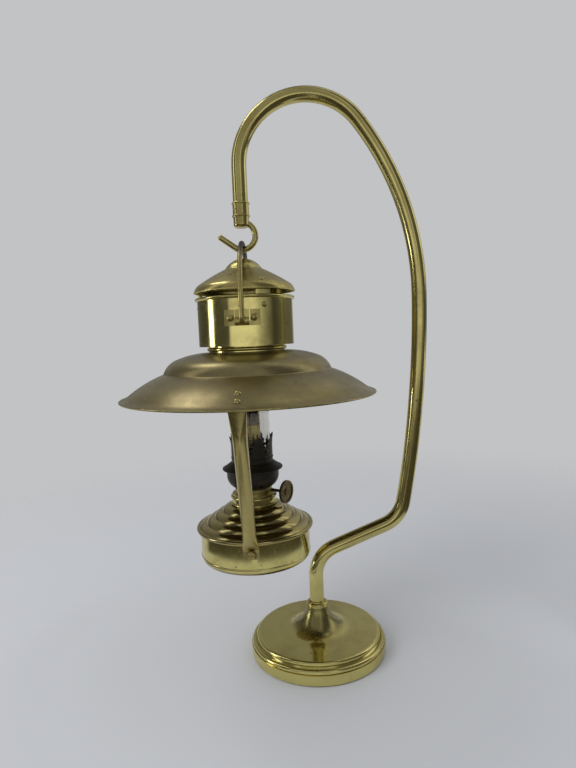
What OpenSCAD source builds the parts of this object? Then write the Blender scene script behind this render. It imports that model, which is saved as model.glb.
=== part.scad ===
// Hanging oil lamp on a gooseneck table stand, spun and bent from brass.
// Millimetres, +Z up. The origin is the centre of the base, on the table.
// The arm lies in the XZ plane. The lamp hangs on the -X side, and its front faces -Y.

/* [Stand base] */
// Radius of the base over its lower band
base_r = 60; // [52:0.5:72]
// Height of the plain lower band
base_band_h = 8.5; // [6:0.5:12]
// Radius of each of the two beads on the base's edge
base_bead_r = 2.4; // [1.8:0.1:2.8]
// Step of each bead in from the one below it
base_bead_step = 4.2; // [3:0.1:5]
// Rise of the base's top disc from its edge to the trumpet
base_disc_rise = 1.5; // [0.5:0.5:4]
// Radius of the trumpet's foot on the disc
trumpet_foot_r = 30; // [25:0.5:34]
// Sheet of the base shell
base_t = 1; // [0.8:0.1:1.5]
// Thickness of the felt under the base
felt_t = 1.5; // [1:0.1:3]
// Thickness of the iron weight in the base
weight_h = 11; // [8:0.5:12]

/* [Gooseneck] */
// Outside diameter of the tube
tube_d = 12.7; // [11:0.1:14]
// Wall of the tube
tube_wall = 1; // [0.7:0.1:1.5]
// Height of the straight post above the table
post_h = 67; // [60:1:90]
// Centreline radius of the two elbows
elbow_r = 28; // [24:1:34]
// Slope of the run between the elbows
run_slope = 22; // [16:1:28]
// Lean of the long bow at its foot
bow_lean = 11; // [9:0.5:13]
// Centreline radius of the shoulder above the bow
shoulder_r = 241; // [220:1:260]
// Turn of the shoulder
shoulder_turn = 37; // [33:1:41]
// Straight drop from the arch to the end of the tube
drop_l = 43; // [36:1:60]
// Room between the shade's edge and the bow
shade_gap = 33.7; // [20:0.1:45]
// Distance of the cup's wall from the post's axis
post_gap = 4.4; // [3:0.1:12]
// Height of the cup's bottom above the first elbow
cup_clear = 21; // [17:1:40]

/* [Hook and bail] */
// Diameter of the hook's wire
hook_wire_d = 5.1; // [4:0.1:6]
// Centreline radius of the hook
hook_r = 11.4; // [10:0.1:14]
// Length of the hook's straight tip
hook_tip_l = 14; // [8:0.5:18]
// Length of the ferrule on the tube's end
ferrule_l = 13; // [10:0.5:18]
// Wall of the ferrule
ferrule_t = 0.5; // [0.4:0.1:1]
// Height of the end cap under the ferrule
end_cap_h = 7.9; // [7:0.1:10]
// Diameter of the bail's wire
bail_wire_d = 4; // [3:0.1:5]
// Room between the hook and the top of the dome
hook_gap = 5; // [3:0.5:12]

/* [Vent drum and cap] */
// Radius of the vent drum
drum_r = 40.8; // [36:0.2:46]
// Height of the vent drum
drum_h = 39.5; // [34:0.5:50]
// Radius of the rolled lip on the drum's top
lip_r = 1.4; // [1:0.1:2]
// Open gap between the lip and the dome's rim
vent_gap = 4.3; // [3:0.1:8]
// Overhang of the dome's rim beyond the drum
dome_over = 2.5; // [2:0.1:4]
// Height of the dome's upright rim
dome_rim_h = 0.8; // [0.5:0.1:2]
// Radius of the small dome on top
small_dome_r = 15.5; // [13:0.1:17]
// Height of the bail's pivot above the drum's bottom
pivot_h = 19.6; // [16:0.2:24]
// Height of the neck between drum and shade
neck_h = 4.9; // [4:0.1:8]
// Radius of the neck's bead
neck_r = 34.3; // [32:0.1:37]
// Radius of the draught opening through neck and shade
draught_r = 27; // [22:0.5:29]
// Sheet of the drum, dome and shade
sheet_t = 0.8; // [0.6:0.1:1]

/* [Shade] */
// Radius of the shade at its edge
shade_r = 109.8; // [100:0.2:122]
// Radius of the crease between crown and brim
crease_r = 72; // [66:0.5:78]
// Radius where the crown leaves its flat top
crown_r = 37; // [35.5:0.5:42]
// Slope of the brim at the crease
brim_slope_in = 20; // [14:1:24]
// Slope of the brim at its steepest
brim_slope_out = 38; // [32:1:42]

/* [Fount and cup] */
// Outside radius of the cup
cup_r = 48.1; // [44:0.1:54]
// Height of the cup
cup_h = 26.8; // [23:0.2:34]
// Distance from the drum's bottom down to the cup's edge
cup_drop = 160.6; // [150:0.2:185]
// Number of round steps on the fount's lid
lid_steps = 4; // [3:1:5]
// Radius of the rolled rim of the lid
lid_rim_r = 1.8; // [1.4:0.1:2.2]
// Height of the fount's collar
collar_h = 8.4; // [6:0.1:10]
// Radius of the fount's collar
collar_r = 20.4; // [18:0.1:23]

/* [Burner] */
// Radius of the burner's base ring
burner_r = 15.6; // [15:0.1:17]
// Height of the bowl and flange above the base ring
bowl_h = 15.6; // [14:0.2:20]
// Radius of the flange's edge
flange_r = 25.8; // [24:0.1:28]
// Height of the gallery with its fingers
gallery_h = 23.7; // [20:0.1:28]
// Number of gallery fingers
finger_count = 8; // [6:1:10]
// Outside radius of the chimney's foot
chimney_r = 16.9; // [16:0.1:18]
// Height of the chimney
chimney_h = 112; // [100:1:114]
// Wall of the chimney's glass
glass_t = 1.5; // [1.2:0.1:2]
// Outside radius of the wick
wick_r = 7.2; // [6.5:0.1:7.4]
// Thickness of the wick
wick_t = 1.5; // [1.2:0.1:1.8]
// Height of the wick above its tube
wick_show = 10.7; // [8:0.1:12]
// Height of the wick tube above the flange's deck
wick_tube_h = 33; // [28:0.5:36]
// Radius of the wick knob
knob_r = 10; // [8:0.5:11]
// Distance of the knob along its spindle
knob_out = 28.5; // [27:0.5:36]
// Angle of the spindle towards the front
spindle_turn = 33; // [20:1:45]

/* [Straps and rivets] */
// Diameter of the strap tubes
strap_d = 11; // [9:0.2:12]
// Width of the straps' flattened ends
strap_flat_w = 13.4; // [12.4:0.2:15]
// Thickness of the straps' flattened ends
strap_flat_t = 2; // [1.6:0.1:2.4]
// Turn of the two straps about the lamp's axis
strap_turn = -1; // [-8:0.5:8]
// Radius of a rivet's head
rivet_head_r = 2.9; // [2.4:0.1:3.2]
// Radius of a rivet's shank
rivet_r = 1.4; // [1:0.1:1.8]

/* [Clearances] */
// Running clearance of pins and shafts
run_fit = 0.06; // [0.03:0.01:0.1]
// Clearance round fixed pins, rivets and sleeves
fixed_fit = 0.05; // [0.03:0.01:0.1]
// Clearance between parts that only rest on each other
rest_gap = 0.3; // [0.2:0.05:0.4]

/* [Hidden] */
$fn = 64;

brass = [0.80, 0.62, 0.25];
dull_brass = [0.62, 0.48, 0.24];
black_brass = [0.16, 0.13, 0.10];

// Steps in each swept arc of a spun profile.
arc_steps = 10;
tube_r = tube_d / 2;
hook_wire_r = hook_wire_d / 2;
bail_wire_r = bail_wire_d / 2;
rivet_hole_r = rivet_r + fixed_fit;
// How far a cut runs past the piece that it cuts.
past = 3;

// Spun profiles are lists of [radius, height, slope], where slope is how far the surface falls outwards.
// An arc runs from one slope to another while the radius grows to r2.
function arc_bend(p, h1, h2, r2) = (r2 - p[0]) / (sin(h2) - sin(h1));
function arc(p, h1, h2, r2) =
    let (bend = arc_bend(p, h1, h2, r2))
    [for (i = [0 : arc_steps])
        let (h = h1 + (h2 - h1) * i / arc_steps)
        [p[0] + bend * (sin(h) - sin(h1)), p[1] - bend * (cos(h1) - cos(h)), h]];
function last(list) = list[len(list) - 1];
function reversed(list) = [for (i = [len(list) - 1 : -1 : 0]) list[i]];
function skin(profile) = [for (p = profile) [p[0], p[1]]];
function under(profile, t) = [for (p = profile) [p[0] - t * sin(p[2]), p[1] - t * cos(p[2])]];
function lowered(profile, dz) = [for (p = profile) [p[0], p[1] + dz, p[2]]];

// The wall of a spun piece, drawn below its profile.
module spun_wall(profile, t) {
    polygon(concat(under(profile, t), reversed(skin(profile))));
}

module ring(r_in, r_out, z, h) {
    rotate_extrude() translate([r_in, z]) square([r_out - r_in, h]);
}

module bead(at_r, z, r) {
    rotate_extrude() translate([at_r, z]) circle(r);
}

// A domed rivet along +Z, its head's seat at z = 0 and its tail's head at z = -grip.
module rivet(grip, head_r, shank_r) {
    rise = head_r * 0.55;
    ball = (head_r * head_r + rise * rise) / (2 * rise);
    sweep = asin(head_r / ball);
    dome = [for (i = [0 : 6])
        let (a = sweep * i / 6)
        [ball * sin(a), rise - ball * (1 - cos(a))]];
    tail_r = shank_r * 1.6;
    rotate_extrude()
        polygon(concat(dome, [
            [shank_r, 0], [shank_r, -grip], [tail_r, -grip],
            [tail_r * 0.8, -grip - rise / 2], [0, -grip - rise / 2]
        ]));
}

// Turns a piece drawn along +Z so that it points away from the axis, at an angle from the front.
module radially(angle, r, z, tilt = 0) {
    rotate([0, 0, angle]) translate([0, -r, z]) rotate([90 - tilt, 0, 0]) children();
}

// Lamp frame: z = 0 is the underside of the drum.
// Dome
dome_r = drum_r + dome_over;
dome_rim_z = drum_h + lip_r + vent_gap;
dome_foot_w = 0.9;
dome_edge_w = 4.2;
dome_edge_in = 0.3;
dome_bead_r = 0.6;
dome_slope_in = 25;
dome_slope_out = 34;
small_dome = arc([0, 0], 0, 57, small_dome_r);
dome_foot = arc(last(small_dome), 57, dome_slope_in, small_dome_r + dome_foot_w);
dome_mid = arc(last(dome_foot), dome_slope_in, dome_slope_out, dome_r - dome_edge_w);
dome_edge = arc(last(dome_mid), dome_slope_out, 78, dome_r - dome_edge_in);
dome_fall = -last(dome_edge)[1];
dome_top = dome_rim_z + dome_rim_h + dome_fall;
dome_side = lowered(concat(dome_mid, dome_edge), dome_top);
dome_profile = concat(lowered(concat(small_dome, dome_foot), dome_top), dome_side, [
    [dome_r, dome_rim_z + dome_rim_h, 90],
    [dome_r, dome_rim_z, 90]
]);

// Tabs that carry the dome
tab_turns = [26, 146, 266];
tab_w = 12.8;
tab_t = 1.2;
tab_foot_z = drum_h - 13;
tab_rivet_z = drum_h - 7;
tab_r = drum_r - sheet_t - 3 * fixed_fit;
rivet_slack = 0.2;
tab_lap = 4.6;
dome_rivet_r = dome_r - dome_edge_w - 3 * sheet_t;
tab_crown = [for (p = dome_side) if (abs(p[0] - dome_rivet_r) < tab_lap && p[0] < tab_r) p];
// The rivet's place on the dome, as [radius, height, slope].
dome_bend = arc_bend(last(dome_foot), dome_slope_in, dome_slope_out, dome_r - dome_edge_w);
dome_rivet_slope = asin(sin(dome_slope_in) + (dome_rivet_r - last(dome_foot)[0]) / dome_bend);
dome_rivet = [
    dome_rivet_r,
    dome_top + last(dome_foot)[1] - dome_bend * (cos(dome_slope_in) - cos(dome_rivet_slope)),
    dome_rivet_slope
];

// Ears that hold the bail
ear_t = 1.2;
ear_w = 28.8;
ear_up = 9.4;
ear_down = 3.4;
knuckle_r = 3.2;
knuckle_w = 11.2;
ear_rivet_x = 9.4;
ear_rivet_z = pivot_h + 2.8;
ear_r = drum_r + ear_t;
ear_rivet_turn = asin(ear_rivet_x / ear_r);
knuckle_face = ear_r + knuckle_r;
ear_slit_w = 1;
bail_gap = 0.8;
bail_r = max(knuckle_face, dome_r) + bail_gap + bail_wire_r;
bail_bend_r = bail_wire_r * 1.5;
bore_end = ear_r + ear_t / 3;
pin_end = bore_end + rest_gap;
bail_leg = dome_top - pivot_h + hook_gap + hook_wire_d + rest_gap + bail_wire_r - bail_r;

// Shade
shade_top = -neck_h;
eyelet_t = 0.8;
shade_hole_r = draught_r + eyelet_t + fixed_fit;
crown_slope = 2;
crown_slope_mid = 22;
crown_slope_out = 70;
crease_w = 1;
brim_edge_w = 8;
crown_mid_r = crown_r + (crease_r - crown_r) * 0.7;
crown_arc = arc([crown_r, shade_top - (crown_r - shade_hole_r) * tan(crown_slope)],
    crown_slope, crown_slope_mid, crown_mid_r);
crown_turn = arc(last(crown_arc), crown_slope_mid, crown_slope_out, crease_r);
crease = arc(last(crown_turn), crown_slope_out, brim_slope_in, crease_r + crease_w);
brim = arc(last(crease), brim_slope_in, brim_slope_out, shade_r - brim_edge_w);
brim_edge = arc(last(brim), brim_slope_out, 20, shade_r - sheet_t);
shade_profile = concat(
    [[shade_hole_r, shade_top, crown_slope]], crown_arc, crown_turn, crease, brim, brim_edge);

// Place on the brim at radius r, as [radius, height, slope].
brim_bend = arc_bend(last(crease), brim_slope_in, brim_slope_out, shade_r - brim_edge_w);
function on_brim(r) =
    let (p = last(crease), h = asin(sin(brim_slope_in) + (r - p[0]) / brim_bend))
    [r, p[1] - brim_bend * (cos(brim_slope_in) - cos(h)), h];

// Cup and fount
cup_t = 0.9;
cup_top = -cup_drop;
cup_floor = cup_top - cup_h;
cup_corner = 5.5;
cup_bead_r = 0.8;
cup_bead_z = cup_floor + cup_corner + cup_bead_r;
screw_r = 2;
screw_head_r = 3.3;
screw_head_h = 1.9;
screw_slot = 0.9;
nut_h = 2.2;
nut_r = 3.8;
nut_room = 0.8;
screw_drop = 7;
screw_z = cup_top - screw_drop;
fount_r = cup_r - cup_t - nut_h - nut_room;
fount_t = 0.8;
fount_z = cup_floor + cup_t + rest_gap;
rim_z = cup_top + rest_gap + lid_rim_r;
lid_over = 1.5;
lid_r = cup_r + lid_over;
lid_ledge = 0.6;
lid_top_r = collar_r + lid_ledge;
lid_t = 0.8;
step_w = (lid_r - lid_top_r) / lid_steps;
step_in = 5;
step_out = 63;
step_bend = step_w / (sin(step_out) - sin(step_in));
step_fall = step_bend * (cos(step_in) - cos(step_out));
lid_top = rim_z + lid_steps * step_fall;
lid_hole_r = burner_r + lid_ledge;
lid_profile = concat(
    [[lid_hole_r, lid_top, 0]],
    [for (i = [0 : lid_steps - 1])
        let (r = lid_top_r + i * step_w)
        each arc([r, lid_top - i * step_fall], step_in, step_out, r + step_w)]);

// Underside of the lid's lowest step at radius r.
function lid_under(r) =
    let (r0 = lid_r - step_w, h = asin(sin(step_in) + (r - r0) / step_bend))
    rim_z + step_fall - step_bend * (cos(step_in) - cos(h)) - lid_t / cos(h);

// Burner
collar_top = lid_top + collar_h;
collar_bore_r = burner_r + 2 * run_fit;
fount_bead_r = 1;
ring_bead_r = 0.7;
base_flange_h = 1.4;
base_ring_h = 5;
base_wall = 1.1;
skirt_h = 3;
skirt_z = lid_top - skirt_h;
base_top = collar_top + base_flange_h + base_ring_h;
flange_fall = 7;
deck_z = base_top + bowl_h + flange_fall;
deck_lip = 1.7;
deck_r = chimney_r + deck_lip;
flange_t = 0.7;
flange_slope = 36;
tube_room = 1.3;
flange_profile = [
    [wick_r + tube_room, deck_z, 0], [deck_r, deck_z, 0], [deck_r, deck_z, flange_slope],
    [flange_r, deck_z - (flange_r - deck_r) * tan(flange_slope), flange_slope]
];
bowl_t = 0.7;
flange_lap = 3.7;
bowl_r = flange_r - flange_lap;
bowl_foot_in = 0.6;
bowl_foot_r = burner_r - bowl_foot_in;
bowl_side = arc([bowl_foot_r, base_top + bowl_t], -20, -84, bowl_r);
bowl_seat_z = deck_z - (bowl_r + bowl_t - deck_r) * tan(flange_slope) - flange_t / cos(flange_slope);
bowl_profile = concat(
    [[wick_r + tube_room, base_top + bowl_t, 0], [bowl_foot_r, base_top + bowl_t, 0]],
    bowl_side,
    [[bowl_r, bowl_seat_z - 2 * fixed_fit, -90]]);
bowl_hole_count = 16;
bowl_hole_r = 1.3;
bowl_hole_slope = -50;
bowl_hole = [for (p = bowl_side) if (p[2] < bowl_hole_slope) p][0];
gallery_t = 0.7;
gallery_room = 0.5;
gallery_r = chimney_r + gallery_room;
gallery_band_h = 13.5;
gallery_flare = 24;
gallery_bead_z = 4;
diamond_h = 4.6;
flange_bead_r = 0.65;
flange_hole_r = 1.3;

// Wick, its tube and its raiser
wick_gap = rest_gap;
wick_tube_r = wick_r + wick_gap;
wick_tube_t = 0.6;
draught_tube_r = wick_r - wick_t - wick_gap;
draught_tube_t = 0.5;
wick_tube_top = deck_z + wick_tube_h;
wick_top = wick_tube_top + wick_show;
wick_foot = skirt_z - 6;
wick_tail_w = 9;
web_t = 1.2;
wick_tail_z = fount_z + 14;
wheel_r = 3.2;
wheel_w = 1.2;
wheel_teeth = 10;
wheel_apart = 3.2;
wheel_room = 0.8;
spindle_r = 1.3;
spindle_z = collar_top + spindle_r + rest_gap;
spindle_off = wick_r + rest_gap + wheel_r;
knob_t = 2.2;
knob_hub_r = 3;
knob_hub_h = 2.5;
knob_rim_w = 1.8;
knob_dish = 0.6;
knob_notches = 24;
spindle_tail = 13;

// Chimney
chimney_z = deck_z + rest_gap;
chimney_waist_z = chimney_z + wick_tube_h + wick_show + 5;
chimney_waist_r = 10.6;
chimney_top_r = 11.4;
chimney_draw = 0.6;
chimney_shoulder = 9;

// Straps, seen in their own plane as [distance from the axis, height]
strap_low_z = screw_z - screw_head_r - rest_gap;
knee_rise = 1.2;
strap_knee_z = screw_z + screw_head_r + knee_rise;
strap_lie = strap_flat_t / 2 + 2 * fixed_fit;
rim_room = 0.4;
rim_clear = lid_r + lid_rim_r + rim_room;
tab_in = 13.3;
tab_mid_r = shade_r - tab_in;
tab_mid = on_brim(tab_mid_r);
tab_reach = 8.5;
tab_over = 1;
tab_gap = 0.6;
tab_lie = sheet_t + tab_gap + strap_flat_t / 2;
strap_tab = [tab_mid[0] - tab_lie * sin(tab_mid[2]), tab_mid[1] - tab_lie * cos(tab_mid[2])];
tab_run = [cos(tab_mid[2]), -sin(tab_mid[2])];
strap_in = cup_r + strap_lie;
strap_out = rim_clear + strap_flat_t / 2;
strap_knots = [
    [strap_in, strap_low_z],
    [strap_in, strap_knee_z],
    [strap_out, strap_knee_z + strap_out - strap_in],
    strap_tab + tab_run * (tab_reach + tab_over),
    strap_tab - tab_run * tab_reach
];
strap_radii = [0, 2.5, 8, 4, 0];
strap_sides = 18;
strap_rivet_apart = 8.5;
strap_foot_blend = 12;
strap_head_blend = 22;
strap_oval = 0.3;

// Where the lamp hangs
lamp_reach = cup_r + post_gap;
lamp_hang = dome_top + hook_gap + hook_wire_r;
hook_dip = 3.4;
end_to_hook = hook_dip + 2 * hook_r;
end_to_cup = end_to_hook + lamp_hang - cup_floor;
tube_end = post_h + cup_clear + end_to_cup;
hook_z = tube_end - hook_dip - hook_r;
lamp_z = tube_end - end_to_hook - lamp_hang;

// Gooseneck: the run and the bow are worked out so that the arm clears the shade and ends over the lamp.
bow_x = shade_r - lamp_reach + shade_gap + tube_r;
arch_r = (bow_x + lamp_reach - shoulder_r * (1 - cos(shoulder_turn))) / (1 + cos(shoulder_turn));
need_x = bow_x - elbow_r * (1 - sin(run_slope)) - elbow_r * (cos(bow_lean) - sin(run_slope));
need_z = tube_end - post_h - elbow_r * (2 * cos(run_slope) - sin(bow_lean))
    - (shoulder_r - arch_r) * sin(shoulder_turn) + drop_l;
det = cos(run_slope) * sin(bow_lean) - sin(run_slope) * (1 - cos(bow_lean));
run_l = (need_x * sin(bow_lean) - need_z * (1 - cos(bow_lean))) / det;
bow_r = (need_z * cos(run_slope) - need_x * sin(run_slope)) / det;
felt_gap = 0.5;
tube_foot_z = felt_t + 2 * felt_gap;
// Each bend of the tube is [centreline radius, turn to the left], and a straight is [0, length].
tube_path = [
    [0, post_h - tube_foot_z], [elbow_r, run_slope - 90], [0, run_l], [elbow_r, 90 - bow_lean - run_slope],
    [bow_r, bow_lean], [shoulder_r, shoulder_turn], [arch_r, 180 - shoulder_turn], [0, drop_l]
];

// Base
shell_z = felt_t * 0.75;
bead_sink = 0.3;
bead_in = 0.6;
bead_1_z = base_band_h + base_bead_r;
bead_2_z = bead_1_z + 2 * base_bead_r - bead_sink;
bead_1_r = base_r - base_bead_r - bead_in;
bead_2_r = bead_1_r - base_bead_step;
disc_z = bead_2_z + base_bead_r;
trumpet_lip = 3;
trumpet_top_r = tube_r + trumpet_lip;
disc_edge_r = bead_2_r;
rim_in = disc_edge_r - 2 * base_t;
disc_slope = atan(base_disc_rise / (disc_edge_r - trumpet_foot_r));
// The trumpet's flare, from the tube down to the disc.
trumpet_waist_r = trumpet_top_r + (trumpet_foot_r - trumpet_top_r) * 0.28;
trumpet_neck = arc([trumpet_top_r, 0], 78, 52, trumpet_waist_r);
trumpet = concat(trumpet_neck, arc(last(trumpet_neck), 52, disc_slope, trumpet_foot_r));
trumpet_rise = -last(trumpet)[1];
trumpet_top = disc_z + base_disc_rise + trumpet_rise;
base_skin = concat(lowered(trumpet, trumpet_top), [[disc_edge_r, disc_z, disc_slope]]);
weight_room = 1;
weight_r = base_r - base_t - weight_room;
weight_hole_r = tube_r + rest_gap;
post_collar_h = 4.6;
collar_bead_r = 1.3;
nut_af = 19;
nut_hole_r = tube_r + fixed_fit;
washer_t = 1.2;
washer_r = 11.5;
base_nut_h = 5;
recess_r = 13;
recess_top = felt_t + felt_gap + base_nut_h + washer_t;

module at_lamp() {
    translate([-lamp_reach, 0, lamp_z]) children();
}

// Largest turn and longest run between two stops on a bend
stop_turn = 6;
stop_run = 12;
// A stop on a path in the XZ plane is [x, z, heading], and heading 90 is straight up.
function stop_after(stop, bend, amount) =
    let (h = stop[2], to = h + amount, side = sign(amount) * bend)
    bend == 0
        ? [stop[0] + amount * cos(h), stop[1] + amount * sin(h), h]
        : [stop[0] + side * (sin(to) - sin(h)), stop[1] - side * (cos(to) - cos(h)), to];
function stops_along(path, stops, i = 0) =
    i == len(path) ? stops :
    let (
        bend = path[i][0],
        amount = path[i][1],
        n = bend == 0 ? 1 : ceil(max(abs(amount) / stop_turn, bend * abs(amount) * PI / 180 / stop_run)),
        from = last(stops))
    stops_along(path, concat(stops, [for (k = [1 : n]) stop_after(from, bend, amount * k / n)]), i + 1);

// A ring of points round a stop.
function stop_ring(stop, r, sides) = [for (k = [0 : sides - 1])
    let (a = 360 * k / sides)
    [stop[0] - r * cos(a) * sin(stop[2]), r * sin(a), stop[1] + r * cos(a) * cos(stop[2])]];

// Triangles between rings of n points, m rings in all, from point number `from` on.
function ring_faces(m, n, from, flip) = [for (i = [0 : m - 2], k = [0 : n - 1])
    let (a = from + i * n + k, b = from + i * n + (k + 1) % n)
    each flip ? [[a, b + n, b], [a, a + n, b + n]] : [[a, b, b + n], [a, b + n, a + n]]];

// A hollow tube through the stops.
module swept_tube(stops, r, bore, sides) {
    m = len(stops);
    n = sides;
    inner = m * n;
    end = (m - 1) * n;
    polyhedron(
        points = concat(
            [for (stop = stops) each stop_ring(stop, r, n)],
            [for (stop = stops) each stop_ring(stop, bore, n)]),
        faces = concat(
            ring_faces(m, n, 0, false),
            ring_faces(m, n, inner, true),
            [for (k = [0 : n - 1])
                let (j = (k + 1) % n)
                each [[k, inner + j, j], [k, inner + k, inner + j]]],
            [for (k = [0 : n - 1])
                let (j = (k + 1) % n)
                each [[end + k, end + j, inner + end + j], [end + k, inner + end + j, inner + end + k]]]),
        convexity = 6);
}

// Base of the stand
module base_shell() {
    color(brass) rotate_extrude() {
        spun_wall(base_skin, base_t);
        translate([rim_in, base_band_h])
            square([disc_edge_r - rim_in, disc_z - base_t * 0.6 - base_band_h]);
        polygon([
            [bead_1_r, base_band_h], [bead_1_r, bead_1_z], [bead_2_r, bead_2_z], [rim_in, base_band_h]]);
        translate([bead_2_r, bead_2_z]) circle(base_bead_r);
        translate([bead_1_r, bead_1_z]) circle(base_bead_r);
        translate([base_r - base_t, shell_z]) square([base_t, base_band_h - shell_z + base_t]);
        translate([rim_in, base_band_h]) square([base_r - base_t / 2 - rim_in, base_t]);
    }
}

module base_weight() {
    color([0.25, 0.25, 0.26]) rotate_extrude() {
        difference() {
            translate([weight_hole_r, felt_t])
                square([weight_r - weight_hole_r, base_band_h - felt_t - fixed_fit]);
            translate([0, felt_t]) square([recess_r, recess_top - felt_t]);
        }
        translate([weight_hole_r, recess_top])
            square([rim_in - weight_room - weight_hole_r, felt_t + weight_h - recess_top]);
    }
}

module base_felt() {
    color([0.16, 0.24, 0.17]) cylinder(r = base_r - base_t - rest_gap, h = felt_t);
}

module base_washer() {
    color([0.6, 0.6, 0.58]) ring(tube_r + fixed_fit, washer_r, recess_top - washer_t, washer_t);
}

module base_nut() {
    color(brass) translate([0, 0, recess_top - washer_t - base_nut_h])
        difference() {
            cylinder(r = nut_af / sqrt(3), h = base_nut_h, $fn = 6);
            cylinder(r = nut_hole_r, h = base_nut_h);
        }
}

module post_collar() {
    foot = trumpet_top + fixed_fit;
    color(brass) difference() {
        union() {
            ring(tube_r + fixed_fit, trumpet_top_r - fixed_fit, foot, post_collar_h / 2);
            ring(tube_r + fixed_fit, tube_r + trumpet_lip / 3, foot, post_collar_h);
            bead(trumpet_top_r - collar_bead_r, foot + post_collar_h / 2, collar_bead_r);
        }
        cylinder(r = tube_r + fixed_fit, h = trumpet_top + 2 * post_collar_h);
    }
}

module stand_tube() {
    color(brass) swept_tube(stops_along(tube_path, [[0, tube_foot_z, 90]]), tube_r, tube_r - tube_wall, 28);
}

// Hook
module hook_ferrule() {
    bore = tube_r + fixed_fit;
    bead_r = 1;
    color(brass) translate([-lamp_reach, 0, tube_end]) difference() {
        union() {
            cylinder(r = bore + ferrule_t, h = ferrule_l);
            bead(bore + ferrule_t / 2, bead_r * 1.6, bead_r);
            bead(bore + ferrule_t / 2, ferrule_l - bead_r, bead_r);
        }
        translate([0, 0, -past]) cylinder(r = bore, h = ferrule_l + 2 * past);
    }
}

// The hook's wire as a ring section about Y, its centre at the hook's centre.
module hook_bend(from, sweep, wire_r) {
    rotate([90, 0, 0]) rotate_extrude(angle = sweep, start = from) translate([hook_r, 0]) circle(wire_r);
}

hook_start = 84;
hook_sweep = 210;
hook_tip_turn = hook_start - hook_sweep;

module hook_end_cap() {
    cap_r = tube_r + ferrule_t / 2;
    spigot_l = 8;
    round_r = 2.4;
    spigot_r = tube_r - tube_wall - fixed_fit;
    color(brass) difference() {
        translate([-lamp_reach, 0, tube_end]) {
            rotate_extrude() difference() {
                translate([0, -end_cap_h]) square([cap_r, end_cap_h]);
                difference() {
                    translate([cap_r - round_r, -end_cap_h]) square([round_r, round_r]);
                    translate([cap_r - round_r, round_r - end_cap_h]) circle(round_r);
                }
            }
            cylinder(r = spigot_r, h = spigot_l);
        }
        translate([-lamp_reach, 0, hook_z]) hook_bend(0, hook_start + 1, hook_wire_r + fixed_fit);
    }
}

// The straight tip is a hair thinner than the bend and starts inside it.
module hook() {
    tip_r = hook_wire_r - fixed_fit;
    root = 0.6;
    end = [for (i = [0 : arc_steps]) let (a = 90 * i / arc_steps)
        [tip_r * cos(a), hook_tip_l + tip_r * sin(a)]];
    color(brass) translate([-lamp_reach, 0, hook_z]) {
        hook_bend(hook_tip_turn, hook_sweep, hook_wire_r);
        rotate([0, -hook_tip_turn, 0]) translate([hook_r, 0, 0]) rotate([180, 0, 0])
            rotate_extrude() polygon(concat([[0, -root], [tip_r, -root]], end));
    }
}

// One end of the bail: leg, bend and pin, on the +Y side, drawn from the pivot.
module bail_end() {
    translate([0, bail_r, bail_bend_r]) cylinder(r = bail_wire_r, h = bail_leg - bail_bend_r);
    translate([0, bail_r - bail_bend_r, bail_bend_r]) rotate([90, 0, 90])
        rotate_extrude(angle = 90, start = 270) translate([bail_bend_r, 0]) circle(bail_wire_r);
    translate([0, pin_end, 0]) rotate([-90, 0, 0])
        cylinder(r = bail_wire_r, h = bail_r - bail_bend_r - pin_end);
}

module bail() {
    color([0.45, 0.40, 0.32]) at_lamp() translate([0, 0, pivot_h]) {
        for (turn = [0, 180]) rotate([0, 0, turn]) bail_end();
        translate([0, 0, bail_leg]) rotate([90, 0, 90])
            rotate_extrude(angle = 180) translate([bail_r, 0]) circle(bail_wire_r);
    }
}

// Ears, drum and cap
module ear_plate() {
    arc_w = 2 * asin(ear_w / 2 / ear_r);
    cut = drum_r + ear_t * 0.3;
    difference() {
        union() {
            rotate([0, 0, -90 - arc_w / 2])
                rotate_extrude(angle = arc_w)
                    translate([drum_r + fixed_fit, pivot_h - ear_down])
                        square([ear_t - fixed_fit, ear_up + ear_down]);
            intersection() {
                translate([0, -ear_r, pivot_h]) rotate([0, 90, 0])
                    cylinder(r = knuckle_r, h = knuckle_w, center = true);
                translate([-knuckle_w, -ear_r - knuckle_r * 2, pivot_h - knuckle_r * 2])
                    cube([knuckle_w * 2, ear_r + knuckle_r * 2 - cut, knuckle_r * 4]);
            }
        }
        radially(0, bore_end, pivot_h) cylinder(r = bail_wire_r + run_fit, h = knuckle_r * 2);
        for (x = [-knuckle_w / 2 - ear_slit_w, knuckle_w / 2])
            translate([x, -ear_r - knuckle_r, pivot_h]) cube([ear_slit_w, knuckle_r * 2, ear_up * 2]);
        for (side = [-1, 1])
            radially(side * ear_rivet_turn, drum_r - past, ear_rivet_z)
                cylinder(r = rivet_hole_r, h = 2 * past);
    }
}

module bail_ear(turn) {
    color(brass) at_lamp() rotate([0, 0, turn]) ear_plate();
}
module bail_ear_front() { bail_ear(0); }
module bail_ear_rear() { bail_ear(180); }

// Heads sit a hair above the curved sheet, and tails as far below it.
head_lift = rivet_head_r * rivet_head_r / (8 * drum_r);
module ear_rivets() {
    grip = ear_t + sheet_t + head_lift + rivet_slack;
    color(dull_brass) at_lamp() for (turn = [0, 180], side = [-1, 1])
        radially(turn + side * ear_rivet_turn, ear_r + head_lift, ear_rivet_z)
            rivet(grip, rivet_head_r, rivet_r);
}

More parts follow.
